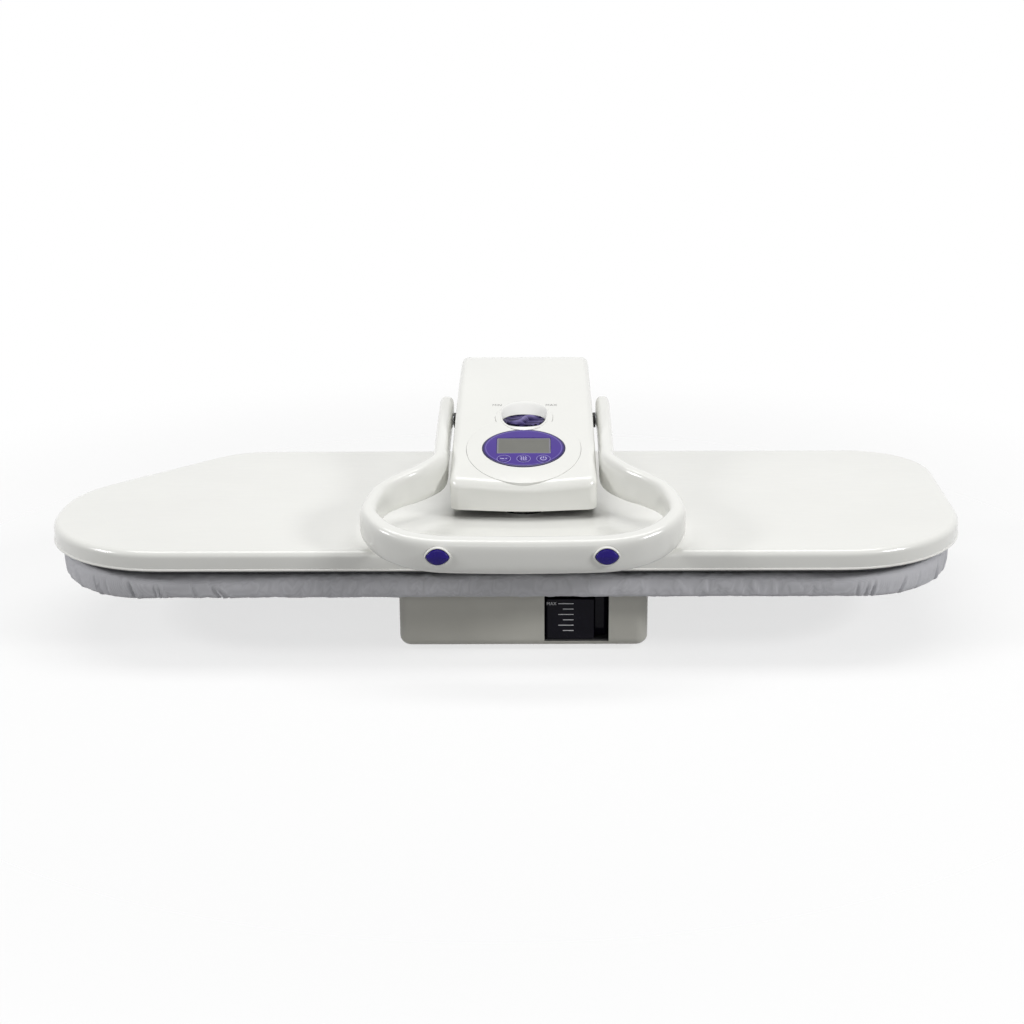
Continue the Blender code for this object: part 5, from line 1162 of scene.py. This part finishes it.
def buildRim(word, side, form=buttonForm):
    # A pale rolled lip round the button's pocket
    levels = [(0.0004, 0.003), (0.0004, -0.0003), (0.0007, -0.0008), (0.0013, -0.0009),
              (0.0018, -0.0005), (0.0020, 0.0003), (0.0020, 0.0030)]
    rings = [eyeRing(side, form["front"] + y, grow) for grow, y in levels]
    rim = growRings("buttonRim" + word, rings, ("open", "open"))
    return settle(rim, 50, "lever", "glossy_white")


buildHandle()
for word, side in (("Left", -1), ("Right", 1)):
    buildButton(word, side)
    buildRim(word, side)
print("handle done")


# Base

baseForm = {
    "outline": rectangle(consoleX - 0.1345, consoleX + 0.1345, -0.15225, 0.245, 0.014),
    "bottom": 0.0052, "top": 0.071, "wall": 0.003, "under": 0.010, "edge": 0.006,
    "bay": (0.0385, 0.108, 0.011, 0.064),
}


def buildBase(form=baseForm):
    low, top, wall, under = form["bottom"], form["top"], form["wall"], form["under"]
    belly = [(under, low + 0.003), (wall, low + under + wall), (wall, top - wall)]
    lip = [(under * (1 - math.sin(a)), low + under * (1 - math.cos(a))) for a in quarter(6)]
    outer = lip + quarterUp(0, top, form["edge"], 6) + [(0.012, top)]
    rings = ringsAt(form["outline"], belly[::-1] + outer, 10, [6, 6, 6, 6])
    shell = growRings("baseShell", rings)
    left, right, floor, roof = form["bay"]
    # the tank's mouth, the bay behind it, the stand's opening and the inlet's
    boxes = [((left, -0.170, floor), (right, -0.13, roof)),
             ((left - 0.0021, -0.14925, floor - 0.0005), (right + 0.0021, -0.13225, roof + 0.0021)),
             ((consoleX - 0.041, 0.20425, top - 0.008), (consoleX + 0.041, 0.242, top + 0.005)),
             ((consoleX - 0.0993, 0.239, 0.0305), (consoleX - 0.0707, 0.252, 0.0455))]
    for first, last in boxes:
        carve(shell, addBlock("openingCutter", first, last))
    return settle(shell, 35, "base", "warm_grey_plastic", node="base_housing")


buildBase()
print("base done")


# Feet and mains inlet

footForm = {"x": 0.105, "rows": (("Front", -0.118), ("Rear", 0.200)),
            "profile": [(0.0042, 0.0012), (0.0050, 0.0010), (0.0056, 0.0002), (0.0062, 0.0),
                        (0.0088, 0.0), (0.0095, 0.0004), (0.0099, 0.0014), (0.0104, 0.0016),
                        (0.0107, 0.0036), (0.0110, 0.0042), (0.0110, 0.0070), (0.0106, 0.0074)]}
# each blade's place from the inlet's middle, its height and half its thickness
inletForm = {"x": -0.085, "y": 0.2425, "half": (0.0009, 0.0035), "round": 0.0006,
             "blades": ((-0.0050, 0.0362, 0.0018), (0.0050, 0.0362, 0.0018),
                        (0.0, 0.0398, 0.0013))}


def buildFoot(row, word, x, y, form=footForm):
    # A rubber foot with a hollow tread and one groove round it
    rings = [[at(x + r * c, y + r * s, z) for c, s in spokes(48, 0)] for r, z in form["profile"]]
    foot = growRings("foot" + row + word, rings)
    node = "_".join(("foot", row.lower(), word.lower()))
    return settle(foot, 40, "base", "black_rubber", node=node)


def buildInletPins(form=inletForm):
    # Three rounded blades at the bottom of the inlet's well
    y, (halfX, halfY) = form["y"], form["half"]
    blades = []
    for shift, z, halfZ in form["blades"]:
        x = consoleX + form["x"] + shift
        blades.append(addBlock("blade", (x - halfX, y - halfY, z - halfZ),
                               (x + halfX, y + halfY, z + halfZ)))
        soften(blades[-1], form["round"], 3, 30)
    return settle(joinAll("inletPins", blades), 40, "base", "brass")


for row, y in footForm["rows"]:
    for word, side in (("Left", -1), ("Right", 1)):
        buildFoot(row, word, consoleX + side * footForm["x"], y)
buildInletPins()
print("feet and inlet done")


# Water tank

tankForm = {"middle": 0.07325, "half": 0.03415, "front": -0.15025, "length": 0.150,
            "low": 0.0134, "high": 0.0594, "notch": (0.015, 0.012), "corner": 0.005,
            "filler": (0.012, -0.118), "spout": (0.006, 0.024),
            # the scale: first line's height, step, right end, long and short line
            "scale": (0.0545, 0.0062, 0.0700, 0.0165, 0.0115), "line": 0.00045, "wordX": 0.0462}


def buildTank(form=tankForm):
    low, high, middle, radius = form["low"], form["high"], form["middle"], form["corner"]
    left, right = middle - form["half"], middle + form["half"]
    front, rear = form["front"], form["front"] + form["length"]
    notchX, notchY = right - form["notch"][0], front + form["notch"][1]
    corners = [(left, front, radius), (notchX, front, 0.002), (notchX, notchY, 0.0022),
               (right, notchY, radius), (right, rear, radius), (left, rear, radius)]
    levels = [(0.0012, low), (0.0004, low + 0.0004), (0, low + 0.0012), (0, high - 0.0012),
              (0.0004, high - 0.0004), (0.0012, high)]
    tank = growRings("tankBody", ringsAt(corners, levels, 8))
    radius, y = form["filler"]
    carve(tank, addRod("fillerHole", 48, radius, 0.008, (middle, y, high)))
    radius, z = form["spout"]
    carve(tank, addRod("spoutSeat", 32, radius, 0.008, (middle, rear, z), (math.pi / 2, 0, 0)))
    return settle(tank, 35, "tank", "smoked_plastic", node="water_tank")


def buildLevels(form=tankForm):
    # Six lines by turns long and short, right-aligned, beside the word MAX
    front, half = form["front"] - 0.00012, form["line"]
    top, step, right, long, short = form["scale"]
    bars = []
    for k in range(6):
        left, z = right - (short if k % 2 else long), top - k * step
        bars.append(addBlock("levelBar", (left, front - 0.00015, z - half),
                             (right, front + 0.00015, z + half)))
        soften(bars[-1], 0.0001, 2, 30)
    settle(joinAll("levelMarks", bars), 0, "tank", "glossy_white", "mark_pale")
    upright = Matrix.Translation(at(form["wordX"], front, top)) @ Matrix.Rotation(math.pi / 2, 4, "X")
    layText("levelWord", "MAX", 0.0048, upright, "tank", "glossy_white", "mark_pale", 0.0003)


buildTank()
buildLevels()
print("tank done")


# Pad

padForm = {
    "corners": plateForm["corners"], "runs": [400, 90, 260, 70, 80], "turnSteps": 140,
    "inset": 0.010, "low": 0.0720, "rim": 0.0998, "top": 0.1041, "edge": 0.0065,
    "shoulder": 0.0895, "hem": 0.032, "ceiling": 0.1044, "crown": 0.045,
    # the hem's droop at both ends, and the cover's lean there: how far, and between which x
    "droop": (0.0035, 0.35, 0.43), "lean": (0.0042, 0.26, 0.40),
    # how far round each shown fold lies, its depth, width and lean
    "tucks": [(0.0361, 0.0016, 0.0012, 0.25), (0.0501, 0.0024, 0.0013, 0.2),
              (0.0565, 0.0006, 0.0016, 0.2), (0.0686, 0.0022, 0.0016, 0.39),
              (0.0797, 0.0009, 0.0016, 0.2), (0.0816, 0.0010, 0.0014, 0.2),
              (0.0958, 0.0006, 0.0020, 0.38), (0.1038, 0.0014, 0.0016, 0.75),
              (0.1055, 0.0012, 0.0016, 0.94), (0.4308, 0.0020, 0.0013, 0.0),
              (0.4160, 0.0007, 0.0016, -0.2), (0.4072, 0.0014, 0.0015, -0.42),
              (0.3914, 0.0012, 0.0014, -0.21), (0.3885, 0.0010, 0.0014, -0.21),
              (0.3835, 0.0008, 0.0016, 0.0)],
    "deepen": 2.3, "narrow": 0.85, "seed": 7,
    "frames": 12, "reach": 0.0007,
    "cloth": {"quality": 4, "mass": 0.25, "tension_stiffness": 25, "compression_stiffness": 25,
              "shear_stiffness": 10, "bending_stiffness": 0.4, "use_pressure": True,
              "uniform_pressure_force": 3.0, "shrink_min": -0.015,
              "vertex_group_mass": "held"},
}


def padOutline(inset, form=padForm):
    return roundedOutline(form["corners"], inset, form["turnSteps"], form["runs"])


def padTucks(outline, form=padForm):
    # Drawn folds: those the photograph shows, then more where the outline bends elsewhere
    runs = [0.0]
    for a, b in zip(outline, outline[1:] + outline[:1]):
        runs.append(runs[-1] + (b - a).length)
    whole = runs[-1]
    draws = random.Random(form["seed"])
    tucks = [(share * whole, depth * form["deepen"], width * form["narrow"], lean)
             for share, depth, width, lean in form["tucks"]]
    shown = [tuck[0] for tuck in tucks]
    spot = 0.0
    while spot < whole:
        k = min(range(len(outline)), key=lambda i: abs(runs[i] - spot))
        before, place, after = outline[k - 6], outline[k], outline[(k + 6) % len(outline)]
        bend = (after - place).angle(place - before, 0.0)
        hidden = place.y > -0.12
        if hidden and bend > 0.02 and all(abs(spot - t) > 0.010 for t in shown):
            tucks.append((spot, draws.uniform(0.0006, 0.0022), draws.uniform(0.0012, 0.0028),
                          draws.uniform(-0.35, 0.35)))
        spot += draws.uniform(0.011, 0.027)
    return runs, whole, tucks


def padLevels(form=padForm):
    # From the hem inwards and up: under the board, round its rim and over its crown
    inset, low, rim, shoulder = form["inset"], form["low"], form["rim"], form["shoulder"]
    hem, start = inset + form["hem"], inset + 0.0004 + form["edge"]
    levels = [(hem + 0.0003, low + 0.0062), (hem, low + 0.0006), (hem - 0.0012, low)]
    levels += [(inset + out, low + up) for out, up in (
        (0.022, 0), (0.014, 0), (0.009, 0.0001), (0.0055, 0.0006), (0.0030, 0.0018),
        (0.0016, 0.0035), (0.0009, 0.0057), (0.0005, 0.0082), (0.0002, 0.0108), (0, 0.0134))]
    levels += [(inset + out, shoulder + up)
               for out, up in ((-0.0001, 0), (0, 0.0025), (0.0002, 0.0048))]
    levels += quarterUp(inset + 0.0004, rim, form["edge"], 5)
    levels += [(start + form["crown"] * k / 12, rim + (form["top"] - rim) * ease(k / 12))
               for k in range(1, 13)]
    return levels + [(start + form["crown"] + gap, form["top"]) for gap in (0.015, 0.035, 0.055)]


def buildPad(form=padForm):
    # The cloth runs over the board, round its rim and under it to a drawn hem
    low, rim, inset, shoulder = form["low"], form["rim"], form["inset"], form["shoulder"]
    start = inset + 0.0004 + form["edge"]
    sagDeep, sagStart, sagEnd = form["droop"]
    leanDeep, leanStart, leanEnd = form["lean"]
    base = padOutline(inset)
    runs, whole, tucks = padTucks(base)
    rings = []
    for pull, z in padLevels():
        below = clamp((shoulder + 0.002 - z) / 0.009)
        hang = clamp((shoulder - z) / (shoulder - low))
        under = max(0.0, 1 - max(0.0, pull - inset - 0.004) / 0.020)
        side = 1.0 - 0.7 * clamp((pull - start) / 0.010)
        dots = []
        for i, p in enumerate(padOutline(pull)):
            ahead, behind = base[(i + 1) % len(base)], base[i - 1]
            out = Vector((ahead.y - behind.y, behind.x - ahead.x)).normalized()
            press = 0.0
            for spot, depth, width, lean in tucks:
                gap = (runs[i] - spot - lean * (shoulder - z) + whole / 2) % whole - whole / 2
                if abs(gap) < 5 * width:
                    share = gap / width
                    press += depth * (math.exp(-share ** 2)
                                      - 0.45 * math.exp(-(share / 2 - 1) ** 2))
            # the cloth also swells and sinks a little all along
            wave = noise.noise(Vector((runs[i] * 34, z * 26, 1.7))) * 0.0006
            wave += noise.noise(Vector((runs[i] * 120, z * 60, 5.2))) * 0.00025
            slope = 0.0
            if z < rim + 0.0001:
                away = clamp((abs(p.x) - leanStart) / (leanEnd - leanStart))
                slope = leanDeep * away * clamp((z - shoulder) / 0.010)
            # the hem hangs lower at both ends
            sag = sagDeep * ease(clamp((abs(p.x) - sagStart) / (sagEnd - sagStart))) * hang
            move = out * (wave * side - press * below * under - slope)
            rise = noise.noise(Vector((p.x * 22, p.y * 22, 3.1))) * 0.0005 if z > rim else 0.0
            high = min(form["ceiling"] - 0.0001, z + rise - sag)
            dots.append(at(p.x + move.x, p.y + move.y, high))
        rings.append(dots)
    pad = growRings("padCover", rings, ("open", "open"))
    settleCloth(pad)
    goTo(pad)
    bpy.ops.object.mode_set(mode="EDIT")
    bpy.ops.mesh.select_all(action="SELECT")
    bpy.ops.mesh.fill_holes(sides=0)
    bpy.ops.mesh.normals_make_consistent(inside=False)
    return settle(pad, 75, "base", "grey_cloth", node=["pad_cover", "foam_pad"])


def settleCloth(pad, form=padForm):
    # A short cloth run under pressure, held at the top and the hem, then each move is capped
    start = [dot.co.copy() for dot in pad.data.vertices]
    held = pad.vertex_groups.new(name="held")
    for dot in pad.data.vertices:
        fixed = dot.co.z > form["rim"] + 0.0001 or dot.co.z < form["low"] + 0.0004
        held.add([dot.index], 1.0 if fixed else 0.0, "REPLACE")
    goTo(pad)
    cloth = pad.modifiers.new("drawn", "CLOTH")
    setAll(cloth.settings, form["cloth"])
    cloth.settings.effector_weights.gravity = 0
    cloth.collision_settings.use_collision = False
    setAll(cloth.point_cache, {"frame_start": 1, "frame_end": form["frames"]})
    for step in range(1, form["frames"] + 1):
        bpy.context.scene.frame_set(step)
    goTo(pad)
    bpy.ops.object.modifier_apply(modifier=cloth.name)
    bpy.context.scene.frame_set(1)
    most = 0.0
    for dot, first in zip(pad.data.vertices, start):
        move = dot.co - first
        most = max(most, move.length)
        if move.length > form["reach"]:
            move *= form["reach"] / move.length
        dot.co = first + move
        dot.co.z = min(dot.co.z, form["ceiling"] - 0.0001)
    pad.vertex_groups.clear()
    print("pad cloth settled, longest move", round(most * 1000, 2), "mm")


buildPad()
print("pad done")


# Floor, backdrop and lights

studio = {"floor": 0.94, "fade": (0.62, 1.15), "ambient": 0.16, "reach": 1.4, "cover": 0.30}
# each lamp's place, aim, size and power
lamps = {
    "overhead": ((0.0, 0.1, 2.1), (0, 0.05, 0), (2.6, 0.8), 27),
    "front": ((-0.2, -3.0, 1.6), (0, 0, 0.1), (1.6, 0.5), 5),
    "leftSide": ((-2.6, -0.9, 1.5), (0, 0, 0.08), (0.7, 0.5), 29),
    "rightSide": ((2.4, -1.3, 1.6), (0, 0, 0.08), (0.8, 0.5), 38),
}


def buildStage():
    # A pale disc that keeps the shadow and thins out into the white surroundings
    freeHands()
    bpy.ops.mesh.primitive_circle_add(vertices=96, radius=studio["reach"], fill_type="NGON",
                                      location=(0, 0, -0.0002))
    floor = nameIt("studioFloor")
    finish = Finish("studioFloor", (studio["floor"],) * 3, 0.9, Specular_IOR_Level=0.1)
    x, y = [finish.node("ShaderNodeSeparateXYZ", None, {0: finish.place}, k) for k in range(2)]
    start, end = studio["fade"]
    share = ((x * x + y * y) ** 0.5).below((start + end) / 2, (end - start) / 2)
    finish.feed("Alpha", share * studio["cover"])
    floor.data.materials.append(finish.material)


def addLamp(name, place, aim, size, power):
    data = bpy.data.lights.new(name, "AREA")
    setAll(data, {"shape": "RECTANGLE", "size": size[0], "size_y": size[1], "energy": power})
    lamp = bpy.data.objects.new(name, data)
    bpy.context.scene.collection.objects.link(lamp)
    lamp.location = place
    lamp.rotation_euler = (Vector(aim) - Vector(place)).to_track_quat("-Z", "Y").to_euler()


def lightRoom():
    # Even surroundings: white for what the camera and the gloss see, weak for what they light
    world = bpy.data.worlds.new("studio")
    bpy.context.scene.world = world
    world.use_nodes = True
    tree = world.node_tree
    paths = tree.nodes.new("ShaderNodeLightPath")
    seen = paths.outputs["Is Camera Ray"]
    for other in ("Is Glossy Ray", "Is Transmission Ray"):
        either = tree.nodes.new("ShaderNodeMath")
        either.operation = "MAXIMUM"
        tree.links.new(seen, either.inputs[0])
        tree.links.new(paths.outputs[other], either.inputs[1])
        seen = either.outputs[0]
    level = tree.nodes.new("ShaderNodeMapRange")
    tree.links.new(seen, level.inputs[0])
    level.inputs[3].default_value = studio["ambient"]
    tree.links.new(level.outputs[0], tree.nodes["Background"].inputs["Strength"])
    tree.nodes["Background"].inputs["Color"].default_value = (1, 1, 1, 1)
    bpy.context.scene.view_settings.view_transform = "Standard"


buildStage()
for name, lamp in lamps.items():
    addLamp(name, *lamp)
lightRoom()
print("studio lit")
